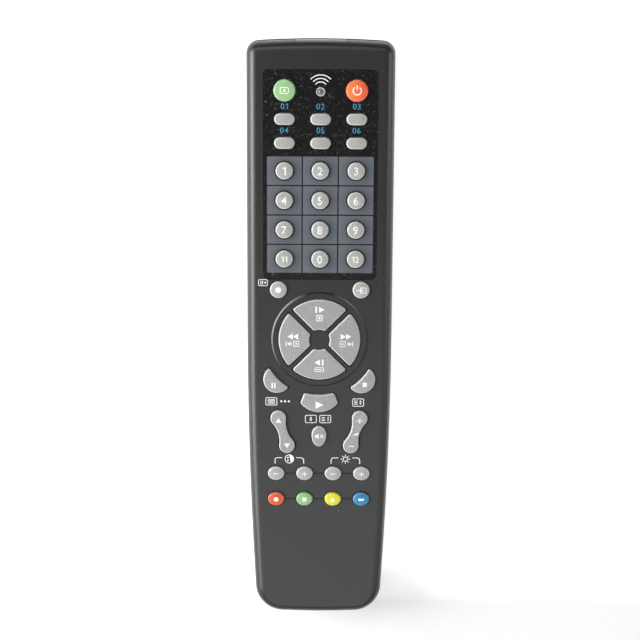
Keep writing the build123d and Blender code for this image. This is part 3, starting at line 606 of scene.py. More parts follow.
def make_board_material():
    """Green lacquered board with copper tracks under the lacquer."""
    track_middle = 0.42
    material, tree, shader = new_material("lacquered_board")
    inputs = {"Vector": object_place(tree), "Scale": 190.0}
    cells = add_node(tree, "ShaderNodeTexVoronoi", inputs, distance="MANHATTAN", feature="F1")
    tracks = ramp(tree, off_from(tree, cells.outputs["Distance"], track_middle), start=0.07, end=0.03)
    weave = noise(tree, scale=1800.0, detail=3.0)
    green = mix(tree, spread(tree, weave, high=0.2), colours().board, colours().track)
    fill_inputs(tree, shader, {
        "Base Color": mix(tree, tracks, green, colours().track),
        "Roughness": spread(tree, weave, low=0.22, high=0.34),
        "Normal": relief(tree, tracks, depth=0.02 * mm),
        "Coat Weight": 0.4,
    })
    return material


def make_chip_material():
    """Moulded package with tinned leads beyond its sides."""
    lead_length = 1.1 * mm
    blur = 0.02 * mm
    material, tree, shader = new_material("chip_package")
    low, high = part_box("controller_chip")
    package_half = (high.x - low.x) / 2 - lead_length
    lead = ramp(tree, unsigned(tree, place_values(tree)[0]), package_half, package_half + blur)
    texture = place_effect(tree, "Moulded Grain", scale=3600.0)
    speckle = between(tree, texture["Speckle"], low=0.0, high=0.4)
    body = mix(tree, speckle, colours().chip, colours().fascia_speck)
    fill_inputs(tree, shader, {
        "Base Color": mix(tree, lead, body, colours().steel),
        "Roughness": between(tree, texture["Speckle"], low=0.45, high=0.62),
        "Metallic": lead,
        "Normal": relief(tree, texture["Height"], depth=0.01 * mm),
    })
    return material


def make_small_parts_material():
    """Sleeved capacitor, amber resonator and dark resistors with tinned ends, told apart by their places."""
    resistor_half = 1.6 * mm
    body_half = 1.1 * mm
    tin_blur = 0.05 * mm
    mottle_depth = 0.15
    material, tree, shader = new_material("board_small_parts")
    low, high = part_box("board_parts")
    middle_y = (low.y + high.y) / 2
    x, y, _ = place_values(tree)
    right = ramp(tree, x, start=-0.1 * mm, end=0.1 * mm)
    far = ramp(tree, y, start=middle_y, end=middle_y + mm)
    ends = off_from(tree, y, high.y - resistor_half)
    tinned = times(tree, ramp(tree, ends, body_half, body_half + tin_blur), far)
    near_paint = mix(tree, right, colours().resonator, colours().sleeve)
    mottle = spread(tree, noise(tree, scale=1600.0, detail=3.0), high=mottle_depth)
    body = mix(tree, mottle, mix(tree, far, near_paint, colours().chip), colours().dust)
    fill_inputs(tree, shader, {
        "Base Color": mix(tree, tinned, body, colours().steel),
        "Roughness": ramp(tree, mottle, start=0.0, end=mottle_depth, low=0.3, high=0.42),
        "Metallic": tinned,
        "Normal": relief(tree, mottle, depth=0.01 * mm),
    })
    return material


def make_emitter_material():
    """Water-clear resin with a pale cast."""
    material, tree, shader = new_material("clear_resin")
    cloud = spread(tree, noise(tree, scale=500.0))
    fill_inputs(tree, shader, {
        "Base Color": mix(tree, cloud, colours().wrap_band, colours().white_ink),
        "Roughness": between(tree, cloud, low=0.04, high=0.09),
        "Transmission Weight": 0.85,
        "IOR": 1.52,
    })
    return material


def make_cell_material(node, plus_way):
    """Sleeved cell: bare metal at both ends and a pale band at the plus end."""
    nub = 1.0 * mm
    fold = 0.8 * mm
    fold_blur = 0.05 * mm
    fold_slope = 0.1 * mm
    band_length = 9.0 * mm
    band_blur = 0.1 * mm
    hairline_shine = 0.3
    material, tree, shader = new_material(f"{node}_sleeve")
    low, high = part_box(node)
    plus_end = high.y - nub if plus_way > 0 else low.y + nub
    minus_end = low.y if plus_way > 0 else high.y
    along = place_values(tree)[1]
    from_plus = off_from(tree, along, plus_end)
    nearest = combine(tree, "MINIMUM", from_plus, off_from(tree, along, minus_end))
    facing_out = ramp(tree, unsigned(tree, normal_values(tree)[1]), start=0.4, end=0.6)
    metal = combine(tree, "MAXIMUM", facing_out, ramp(tree, nearest, fold, fold - fold_blur))
    band = ramp(tree, from_plus, band_length, band_length - band_blur)
    paint = mix(tree, band, colours().wrap, colours().wrap_band)
    hairlines = place_effect(tree, "Hairlines", scale=120.0)["Mask"]
    paint = mix(tree, times(tree, hairlines, hairline_shine), paint, colours().steel)
    fill_inputs(tree, shader, {
        "Base Color": mix(tree, metal, paint, colours().steel),
        "Roughness": spread(tree, noise(tree, scale=300.0, detail=3.0), low=0.22, high=0.32),
        "Metallic": metal,
        "Normal": relief(tree, ramp(tree, nearest, fold + fold_slope, fold), depth=0.05 * mm),
    })
    return material


def dress(material, *nodes):
    """Gives CAD nodes their finish."""
    for node in nodes:
        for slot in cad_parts[node].material_slots:
            slot.material = material


# Flat shapes of the marks

def at(x, y, turn=0.0):
    """Where a shape lies on its mark, turned in degrees."""
    return Matrix.Translation((x, y, 0)) @ Matrix.Rotation(radians(turn), 4, "Z")


def draw_bar(mark, width, height, x=0, y=0, turn=0.0):
    """A filled rectangle."""
    shape = at(x, y, turn) @ Matrix.Diagonal((width, height, 1, 1))
    bmesh.ops.create_grid(mark, x_segments=1, y_segments=1, size=0.5, matrix=shape)


def draw_disc(mark, radius, x=0, y=0, segments=28):
    """A filled disc."""
    bmesh.ops.create_circle(mark, cap_ends=True, segments=segments, radius=radius, matrix=at(x, y))


def draw_shape(mark, corners, matrix=Matrix()):
    """A filled outline from its corners, counter-clockwise."""
    made = [mark.verts.new(matrix @ Vector((x, y, 0))) for x, y in corners]
    mark.faces.new(made)


def draw_arrow(mark, width, height, x=0, y=0, turn=0.0):
    """A filled triangle that points along X before its turn."""
    corners = ((-width / 2, -height / 2), (width / 2, 0), (-width / 2, height / 2))
    draw_shape(mark, corners, at(x, y, turn))


def draw_arc(mark, radius, stroke, start, sweep, x=0, y=0, steps=20):
    """An arc of even width, from a starting angle through a sweep in degrees."""
    spoke = Vector((cos(radians(start)), sin(radians(start)), 0))
    middle = Vector((x, y, 0))
    inner = mark.verts.new(middle + spoke * (radius - stroke / 2))
    outer = mark.verts.new(middle + spoke * (radius + stroke / 2))
    edge = mark.edges.new((inner, outer))
    bmesh.ops.spin(
        mark, geom=[inner, outer, edge], cent=middle, axis=(0, 0, 1), angle=radians(sweep), steps=steps,
        use_merge=sweep == 360, use_duplicate=False,
    )


def draw_box(mark, width, height, corner, stroke, x=0, y=0):
    """The outline of a rectangle with rounded corners."""
    outline = bmesh.new()
    draw_bar(outline, width, height, x, y)
    bmesh.ops.bevel(
        outline, geom=outline.verts[:], offset=corner, affect="VERTICES", segments=4, profile=0.5,
        material=-1,
    )
    bmesh.ops.inset_region(
        outline, faces=outline.faces[:], thickness=stroke, use_even_offset=True, use_boundary=True
    )
    middle = Vector((x, y, 0))
    inner = min(outline.faces, key=lambda face: (face.calc_center_median() - middle).length)
    bmesh.ops.delete(outline, geom=[inner], context="FACES")
    join_into(mark, outline)


def draw_plus(mark, width, stroke, x=0, y=0):
    """A plus sign."""
    draw_bar(mark, width, stroke, x, y)
    arm = (width - stroke) / 2
    for side in (-1, 1):
        draw_bar(mark, stroke, arm, x, y + side * (stroke + arm) / 2)


def join_into(mark, other, matrix=Matrix()):
    """Adds one mesh under construction to another."""
    bmesh.ops.transform(other, matrix=matrix, verts=other.verts[:])
    carrier = bpy.data.meshes.new("carrier")
    other.to_mesh(carrier)
    other.free()
    mark.from_mesh(carrier)
    bpy.data.meshes.remove(carrier)


def draw_one(weight):
    """The numeral one, a stem with a slanted flag, as high as one and starting at no X."""
    plain_stem = 0.15
    left = 0.24
    flag_foot = 0.72
    flag_notch = 0.82
    flag_share = 0.8
    stem = plain_stem + 2 * weight
    right = left + stem
    flag_tip = flag_foot + flag_share * stem
    glyph = bmesh.new()
    corners = ((left, flag_notch), (left, 0), (right, 0), (right, 1), (0, flag_tip), (0, flag_foot))
    draw_shape(glyph, corners)
    return glyph


def draw_glyph(digit, weight):
    """One plain numeral from the built-in typeface, as high as one and starting at no X."""
    merge_distance = 0.0005
    curve = bpy.data.curves.new("digit", "FONT")
    curve.body = digit
    curve.offset = weight
    curve.resolution_u = 4
    writer = bpy.data.objects.new("digit", curve)
    bpy.context.scene.collection.objects.link(writer)
    written = bpy.data.meshes.new_from_object(writer)
    glyph = bmesh.new()
    glyph.from_mesh(written)
    bpy.data.objects.remove(writer)
    bpy.data.curves.remove(curve)
    bpy.data.meshes.remove(written)
    bmesh.ops.remove_doubles(glyph, verts=glyph.verts[:], dist=merge_distance)
    low = Vector([min(vert.co[axis] for vert in glyph.verts) for axis in (0, 1, 2)])
    height = max(vert.co.y for vert in glyph.verts) - low.y
    settle = Matrix.Scale(1 / height, 4) @ Matrix.Translation(-low)
    bmesh.ops.transform(glyph, matrix=settle, verts=glyph.verts[:])
    return glyph


def draw_digits(text, height, weight):
    """A new mark with plain numerals in a row, centred."""
    row = bmesh.new()
    along = 0
    for digit in text:
        glyph = draw_one(weight) if digit == "1" else draw_glyph(digit, weight)
        reach = max(vert.co.x for vert in glyph.verts)
        join_into(row, glyph, Matrix.Translation((along, 0, 0)))
        along += reach + marks().digit_space
    middle = Matrix.Translation((-(along - marks().digit_space) / 2, -0.5, 0))
    bmesh.ops.transform(row, matrix=Matrix.Scale(height, 4) @ middle, verts=row.verts[:])
    return row


def lay_mark(mark, name, node, body, ink, place=(0, 0), below=False):
    """Lays a flat mark on a CAD node's outer face as a thin coat of ink that rides on a body."""
    splits = 2
    bmesh.ops.translate(mark, vec=(place[0], place[1], 0), verts=mark.verts[:])
    for face in mark.faces:
        if face.normal.z < 0:
            face.normal_flip()
    bmesh.ops.triangulate(mark, faces=mark.faces[:])
    for _ in range(splits):
        long_edges = [edge for edge in mark.edges if edge.calc_length() > marks().ink_reach]
        bmesh.ops.subdivide_edges(mark, edges=long_edges, cuts=1)
        bmesh.ops.triangulate(mark, faces=mark.faces[:])
    surface = BVHTree.FromObject(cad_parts[node], bpy.context.evaluated_depsgraph_get())
    way = 1 if below else -1
    for vert in mark.verts:
        start = Vector((vert.co.x, vert.co.y, -way))
        hit = surface.ray_cast(start, Vector((0, 0, way)))[0]
        if hit is None:
            raise RuntimeError(f"{name} reaches past the edge of {node}")
        vert.co.z = hit.z - way * marks().ink_rise
    made = bmesh.ops.extrude_face_region(mark, geom=mark.faces[:], use_keep_orig=True)["geom"]
    inner = [item for item in made if isinstance(item, bmesh.types.BMVert)]
    bmesh.ops.translate(mark, vec=(0, 0, way * marks().ink_thickness), verts=inner)
    bmesh.ops.recalc_face_normals(mark, faces=mark.faces[:])
    mesh = bpy.data.meshes.new(name)
    mark.to_mesh(mesh)
    mark.free()
    mesh.materials.append(bpy.data.materials[ink])
    piece = bpy.data.objects.new(name, mesh)
    bpy.context.scene.collection.objects.link(piece)
    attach(piece, body)


def lay_on_key(mark, key, place=None, ink="white_ink"):
    """Lays a mark on a key, in its middle if no place is given."""
    middle = middle_of(key)
    lay_mark(mark, f"{key}_mark", key, key, ink, place or (middle.x, middle.y))


def lay_on_case(mark, name, place):
    """Prints a mark on the top case in white."""
    lay_mark(mark, name, "top_case", root_body, "white_ink", place)


# Operators

class REMOTE_OT_effects(bpy.types.Operator):
    """Builds the shared surface effects and the inks"""

    bl_idname = "remote.effects"
    bl_label = "Effects and Inks"

    def execute(self, context):
        make_grain_effect()
        make_rim_effect()
        make_dust_effect()
        make_scratch_effect()
        make_ink_material("white_ink", colours().key)
        make_ink_material("label_ink", colours().fascia)
        make_ink_material("green_ink", colours().set_key)
        return {"FINISHED"}


class REMOTE_OT_case(bpy.types.Operator):
    """Finishes the case halves and the battery cover"""

    bl_idname = "remote.case"
    bl_label = "Case"

    def execute(self, context):
        dress(make_case_material(), "top_case", "bottom_case", "battery_cover")
        return {"FINISHED"}


class REMOTE_OT_fascia(bpy.types.Operator):
    """Finishes the inlay, tiles, infrared window and indicator"""

    bl_idname = "remote.fascia"
    bl_label = "Inlay, Tiles and Window"

    def execute(self, context):
        dress(make_fascia_material(), "fascia_panel")
        dress(make_tile_material(), "number_tiles")
        dress(make_window_material(), "ir_window")
        dress(make_lamp_material(), "indicator_lamp")
        dress(make_key_material("indicator_ring_grey", colours().ring, colours().key_rim), "indicator_ring")
        return {"FINISHED"}


class REMOTE_OT_keys(bpy.types.Operator):
    """Finishes the key caps"""

    bl_idname = "remote.keys"
    bl_label = "Keys"

    def execute(self, context):
        paler_share = 0.16
        grey = make_key_material("grey_key_plastic", colours().key, colours().key_rim)
        dress(grey, *number_keys, *device_keys, *grey_keys)
        shaped = make_key_material("shaped_key_plastic", colours().pad, colours().key_rim)
        dress(shaped, *pad_keys, *shaped_keys)
        for node in coloured_keys:
            setting = node.removeprefix("key_") + "_key"
            colour = getattr(colours(), setting)
            # paler rims of the coloured keys: partly rubbed wear, partly a painted highlight
            rim_wear_and_sheen = colour + (Color((1, 1, 1)) - colour) * paler_share
            paint = power_paint if node == "key_power" else colour
            dress(make_key_material(f"{setting}_plastic", paint, rim_wear_and_sheen, coat=0.25), node)
        return {"FINISHED"}


class REMOTE_OT_inside(bpy.types.Operator):
    """Finishes what the case holds: board, mat, cells, contacts, springs and screws"""

    bl_idname = "remote.inside"
    bl_label = "Inside"

    def execute(self, context):
        dress(make_steel_material(), "battery_contacts", "battery_springs", "case_screws")
        dress(make_rubber_material(), "keypad_mat")
        dress(make_board_material(), "circuit_board")
        dress(make_carbon_material(), "contact_pads")
        dress(make_chip_material(), "controller_chip")
        dress(make_small_parts_material(), "board_parts")
        dress(make_emitter_material(), "ir_emitters")
        dress(make_cell_material("cell_left", plus_way=1), "cell_left")
        dress(make_cell_material("cell_right", plus_way=-1), "cell_right")
        return {"FINISHED"}


class REMOTE_OT_numbers(bpy.types.Operator):
    """Prints the numerals on the number keys"""

    bl_idname = "remote.numbers"
    bl_label = "Numerals"

    def execute(self, context):
        texts = [str(number) for number in range(1, 10)] + ["11", "0", "12"]
        for key, text in zip(number_keys, texts):
            height = marks().digit_height if len(text) == 1 else marks().pair_height
            lay_on_key(draw_digits(text, height, marks().digit_weight), key)
        return {"FINISHED"}


class REMOTE_OT_labels(bpy.types.Operator):
    """Prints a plain numeral over each device key"""

    bl_idname = "remote.labels"
    bl_label = "Device Numerals"

    def execute(self, context):
        for number, key in enumerate(device_keys, start=1):
            mark = draw_digits(f"0{number}", marks().label_height, marks().label_weight)
            place = (middle_of(key).x, middle_of(key).y + marks().label_rise)
            name = f"device_label_{number}"
            lay_mark(mark, name, "fascia_panel", root_body, "label_ink", place)
        return {"FINISHED"}


class REMOTE_OT_signal(bpy.types.Operator):
    """Prints three arcs above the indicator"""

    bl_idname = "remote.signal"
    bl_label = "Signal Arcs"

    def execute(self, context):
        rise = 0.9 * mm
        mark = bmesh.new()
        for radius, sweep in ((4.6 * mm, 92), (3.45 * mm, 94), (2.3 * mm, 100)):
            draw_arc(mark, radius, stroke=0.34 * mm, start=90 - sweep / 2, sweep=sweep)
        lamp = middle_of("indicator_lamp")
        place = (lamp.x, lamp.y + rise)
        lay_mark(mark, "signal_arcs", "fascia_panel", root_body, "white_ink", place)
        return {"FINISHED"}


class REMOTE_OT_modes(bpy.types.Operator):
    """Prints the power sign and a plain boxed mark on the set key"""

    bl_idname = "remote.modes"
    bl_label = "Set and Power"

    def execute(self, context):
        stroke = 0.4 * mm
        power = bmesh.new()
        draw_arc(power, radius=1.35 * mm, stroke=stroke, start=125, sweep=290)
        draw_bar(power, width=stroke, height=1.4 * mm, y=1.05 * mm)
        lay_on_key(power, "key_power")
        boxed = bmesh.new()
        draw_box(boxed, width=3.0 * mm, height=2.2 * mm, corner=0.4 * mm, stroke=0.3 * mm)
        draw_disc(boxed, radius=0.45 * mm)
        lay_on_key(boxed, "key_set", ink="green_ink")
        return {"FINISHED"}


class REMOTE_OT_pad(bpy.types.Operator):
    """Prints the arrows and boxed icons on the round pad"""

    bl_idname = "remote.pad"
    bl_label = "Pad Arrows"
    corner = 0.15 * mm
    thin = 0.24 * mm

    def execute(self, context):
        self.step_mark("key_pad_up", 1)
        self.step_mark("key_pad_down", -1)
        self.skip_mark("key_pad_left", -1)
        self.skip_mark("key_pad_right", 1)
        return {"FINISHED"}

    def step_mark(self, key, way):
        """A bar and an arrow over a boxed icon, on the upper or the lower key."""
        mark = bmesh.new()
        height = marks().arrow_height
        draw_arrow(mark, marks().arrow_width, height, x=way * 0.75 * mm, turn=90 - way * 90)
        draw_bar(mark, width=0.6 * mm, height=height, x=-way * 1.15 * mm)
        side = marks().small_icon
        if way > 0:
            rise = 10.5 * mm
            icon_y = -2.9 * mm
            draw_box(mark, side, side, self.corner, stroke=0.3 * mm, y=icon_y)
            draw_disc(mark, radius=0.45 * mm, y=icon_y)
        else:
            rise = -7.8 * mm
            icon_y = -2.5 * mm
            draw_box(mark, 1.5 * side, 0.75 * side, self.corner, self.thin, y=icon_y)
            draw_bar(mark, width=side, height=0.28 * mm, y=icon_y)
        lay_on_key(mark, key, place=(0, pad_middle_y() + rise))

    def skip_mark(self, key, way):
        """A double arrow over an arrow to a stop and a boxed icon, on the left or the right key."""
        aside = 9.05 * mm
        upper_y = 1.2 * mm
        lower_y = -1.35 * mm
        icon_x = -way * 1.15 * mm
        turn = 90 - way * 90
        width = marks().arrow_width
        mark = bmesh.new()
        for step in (-0.5, 0.5):
            draw_arrow(mark, width, marks().arrow_height, x=step * width, y=upper_y, turn=turn)
        draw_arrow(mark, width=1.1 * mm, height=1.3 * mm, x=way * 1.45 * mm, y=lower_y, turn=turn)
        draw_bar(mark, width=0.3 * mm, height=1.7 * mm, x=way * 2.25 * mm, y=lower_y)
        draw_bar(mark, width=0.22 * mm, height=1.3 * mm, x=way * 0.6 * mm, y=lower_y)
        side = 0.95 * marks().small_icon
        draw_box(mark, side, side, self.corner, self.thin, x=icon_x, y=lower_y)
        draw_disc(mark, radius=0.34 * mm, x=icon_x, y=lower_y)
        lay_on_key(mark, key, place=(way * aside, pad_middle_y()))


class REMOTE_OT_playback(bpy.types.Operator):
    """Prints the record, source, pause, stop and play signs"""

    bl_idname = "remote.playback"
    bl_label = "Playback Signs"

    def execute(self, context):
        stroke = marks().stroke
        record = bmesh.new()
        draw_disc(record, radius=1.0 * mm)
        lay_on_key(record, "key_record")
        source = bmesh.new()
        draw_box(source, width=2.2 * mm, height=2.0 * mm, corner=0.3 * mm, stroke=stroke, x=0.7 * mm)
        draw_bar(source, width=1.5 * mm, height=stroke, x=-0.75 * mm)
        draw_arrow(source, width=0.9 * mm, height=1.1 * mm, x=0.45 * mm)
        lay_on_key(source, "key_source")
        pause = bmesh.new()
        for side in (-1, 1):
            draw_bar(pause, width=0.5 * mm, height=1.9 * mm, x=side * 0.46 * mm)
        lay_on_key(pause, "key_pause", place=pause_mark)
        stop = bmesh.new()
        draw_bar(stop, width=1.45 * mm, height=1.45 * mm)
        lay_on_key(stop, "key_stop", place=stop_mark)
        play = bmesh.new()
        draw_arrow(play, width=2.8 * mm, height=2.6 * mm, x=0.1 * mm)
        lay_on_key(play, "key_play", place=play_mark)
        return {"FINISHED"}


class REMOTE_OT_rockers(bpy.types.Operator):
    """Prints the ends of the rockers and the mute sign"""

    bl_idname = "remote.rockers"
    bl_label = "Rockers and Mute"

    def execute(self, context):
        self.channel_mark()
        self.volume_mark()
        self.mute_sign()
        return {"FINISHED"}

    def channel_mark(self):
        """An arrow up and an arrow down, at the ends of the left rocker."""
        mark = bmesh.new()
        for (x, y), turn in zip(channel_marks, (90, -90)):
            draw_arrow(mark, width=1.6 * mm, height=2.0 * mm, x=x, y=y, turn=turn)
        lay_on_key(mark, "key_channel", place=(0, 0))

    def volume_mark(self):
        """Plus, minus and a rising wedge between them, on the right rocker."""
        half = 1.0 * mm
        foot = -0.45 * mm
        peak = 0.5 * mm
        plus_place, minus_place = volume_marks
        mark = bmesh.new()
        draw_plus(mark, marks().sign_width, marks().stroke, *plus_place)
        draw_bar(mark, marks().sign_width, marks().stroke, *minus_place)
        draw_shape(mark, ((-half, foot), (half, foot), (half, peak)), at(*volume_wedge_mark))
        lay_on_key(mark, "key_volume", place=(0, 0))

    def mute_sign(self):
        """A loudspeaker with a cross beside it."""
        back = -1.3 * mm
        neck = -0.8 * mm
        mouth = -0.1 * mm
        neck_half = 0.4 * mm
        mouth_half = 1.0 * mm
        cross_x = 1.0 * mm
        mark = bmesh.new()
        lower = ((back, -neck_half), (neck, -neck_half), (mouth, -mouth_half))
        upper = tuple((x, -y) for x, y in reversed(lower))
        draw_shape(mark, lower + upper)
        cross = bmesh.new()
        draw_plus(cross, width=1.6 * mm, stroke=marks().stroke)
        join_into(mark, cross, at(cross_x, 0, turn=45))
        lay_on_key(mark, "key_mute", place=mute_mark)


class REMOTE_OT_levels(bpy.types.Operator):
    """Prints minus and plus on the level keys and plain shapes on the colour keys"""

    bl_idname = "remote.levels"
    bl_label = "Level and Colour Keys"

    def execute(self, context):
        width_share = 0.85
        width = width_share * marks().sign_width
        for way, draw in (("down", draw_bar), ("up", draw_plus)):
            for level in ("tint", "light"):
                mark = bmesh.new()
                draw(mark, width, marks().stroke)
                lay_on_key(mark, f"key_{level}_{way}")
        shapes = {
            "red": (draw_disc, {"radius": 0.8 * mm}),
            "green": (draw_bar, {"width": 1.4 * mm, "height": 1.4 * mm}),
            "yellow": (draw_arrow, {"width": 1.5 * mm, "height": 1.7 * mm, "y": 0.1 * mm, "turn": 90}),
            "blue": (draw_bar, {"width": 1.9 * mm, "height": 0.75 * mm}),
        }
        for colour, (draw, sizes) in shapes.items():
            mark = bmesh.new()
            draw(mark, **sizes)
            lay_on_key(mark, f"key_{colour}")
        return {"FINISHED"}


class REMOTE_OT_prints(bpy.types.Operator):
    """Prints the boxed icons and brackets on the case"""

    bl_idname = "remote.prints"
    bl_label = "Case Prints"
    bracket_gap = 2.4 * mm

    def execute(self, context):
        self.hold_icon()
        self.page_icon()
        self.freeze_icon()
        self.size_icon()
        self.list_icon()
        self.tint_icon()
        self.light_icon()
        return {"FINISHED"}

    def boxed(self, scale=1.0):
        """A new mark that holds an icon's box."""
        stroke_share = 0.85
        mark = bmesh.new()
        width = marks().icon_width * scale
        height = marks().icon_height * scale
        draw_box(mark, width, height, marks().icon_corner * scale, stroke_share * marks().stroke)
        return mark

    def lines(self, mark, count, pitch, width, stroke, x=0):
        """Level lines, evenly spaced up and down from the middle."""
        for row in range(count):
            draw_bar(mark, width, stroke, x=x, y=(row - (count - 1) / 2) * pitch)

    def arrow_pair(self, mark, width, height, rise, x=0):
        """One arrow up and one arrow down."""
        for way in (1, -1):
            draw_arrow(mark, width, height, x=x, y=way * rise, turn=way * 90)

    def hold_icon(self):
        """Two uprights and a dot, boxed, left of the record key."""
        mark = self.boxed(scale=0.8)
        for upright_x in (-0.7 * mm, -0.1 * mm):
            draw_bar(mark, width=0.3 * mm, height=1.2 * mm, x=upright_x)
        draw_disc(mark, radius=0.32 * mm, x=0.75 * mm)
        lay_on_case(mark, "hold_print", hold_print)

    def page_icon(self):
        """A page of lines, boxed, with three dots beside it."""
        mark = self.boxed()
        self.lines(mark, count=4, pitch=0.45 * mm, width=2.5 * mm, stroke=0.24 * mm)
        lay_on_case(mark, "page_print", page_print)
        dots = bmesh.new()
        for dot_x in (-1.3 * mm, 0, 1.3 * mm):
            draw_disc(dots, radius=0.36 * mm, x=dot_x)
        lay_on_case(dots, "page_dots_print", page_dots_print)

    def freeze_icon(self):
        """Lines and a pair of arrows, boxed."""
        mark = self.boxed()
        self.lines(mark, count=3, pitch=0.55 * mm, width=1.2 * mm, stroke=0.26 * mm, x=-0.75 * mm)
        self.arrow_pair(mark, width=0.7 * mm, height=0.9 * mm, rise=0.5 * mm, x=0.8 * mm)
        lay_on_case(mark, "freeze_print", freeze_print)

    def size_icon(self):
        """Arrows up and down, boxed."""
        mark = self.boxed()
        self.arrow_pair(mark, width=0.7 * mm, height=1.0 * mm, rise=0.52 * mm)
        lay_on_case(mark, "size_print", size_print)

    def list_icon(self):
        """Lines with a small arrow up and one down, boxed."""
        mark = self.boxed()
        self.lines(mark, count=3, pitch=0.55 * mm, width=1.1 * mm, stroke=0.24 * mm, x=-0.7 * mm)
        self.arrow_pair(mark, width=0.6 * mm, height=0.8 * mm, rise=0.5 * mm, x=1.0 * mm)
        lay_on_case(mark, "list_print", list_print)

    def bracket(self, mark):
        """A bracket over two keys, broken for the icon in its middle."""
        corner = 0.9 * mm
        top = 0.45 * mm
        stroke = marks().stroke
        half = marks().bracket_half
        run = half - corner - self.bracket_gap
        leg = marks().bracket_drop - corner
        for side, start in ((-1, 90), (1, 0)):
            draw_bar(mark, run, stroke, x=side * (self.bracket_gap + run / 2), y=top)
            bend_x = side * (half - corner)
            draw_arc(mark, corner, stroke, start, sweep=90, x=bend_x, y=top - corner, steps=8)
            draw_bar(mark, stroke, leg, x=side * half, y=top - corner - leg / 2)

    def tint_icon(self):
        """A disc, half filled, with two dots in its open half."""
        radius = 1.6 * mm
        cut_place = (0.25 * mm, 0, 0)
        cut_way = (1, 0.2, 0)
        stroke = marks().stroke
        mark = bmesh.new()
        draw_arc(mark, radius - stroke / 2, stroke, start=0, sweep=360, steps=32)
        filled = bmesh.new()
        draw_disc(filled, radius - stroke, segments=32)
        geometry = filled.verts[:] + filled.edges[:] + filled.faces[:]
        bmesh.ops.bisect_plane(
            filled, geom=geometry, plane_co=cut_place, plane_no=cut_way, clear_inner=True
        )
        join_into(mark, filled)
        for dot_y in (-0.55 * mm, 0.5 * mm):
            draw_disc(mark, radius=0.3 * mm, x=-0.5 * mm, y=dot_y)
        self.bracket(mark)
        lay_on_case(mark, "tint_print", tint_print)

    def light_icon(self):
        """A ring with eight rays."""
        rays = 8
        reach = 1.33 * mm
        mark = bmesh.new()
        draw_arc(mark, radius=0.75 * mm, stroke=marks().stroke, start=0, sweep=360, steps=24)
        for ray in range(rays):
            turn = ray * 360 / rays
            x = reach * cos(radians(turn))
            y = reach * sin(radians(turn))
            draw_bar(mark, width=0.6 * mm, height=0.24 * mm, x=x, y=y, turn=turn)
        self.bracket(mark)
        lay_on_case(mark, "light_print", light_print)


class REMOTE_OT_cells(bpy.types.Operator):
    """Prints plus and minus on the cells"""

    bl_idname = "remote.cells"
    bl_label = "Cell Signs"

    def execute(self, context):
        end_gap = 5.0 * mm
        width = 2.6 * mm
        stroke = 0.6 * mm
        for node, way in (("cell_left", 1), ("cell_right", -1)):
            low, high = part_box(node)
            reach = (high.y - low.y) / 2 - end_gap
            signs = bmesh.new()
            draw_plus(signs, width, stroke, y=way * reach)
            draw_bar(signs, width, stroke, y=-way * reach)
            place = middle_of(node).xy
            lay_mark(signs, f"{node}_signs", node, root_body, "label_ink", place, below=True)
        return {"FINISHED"}


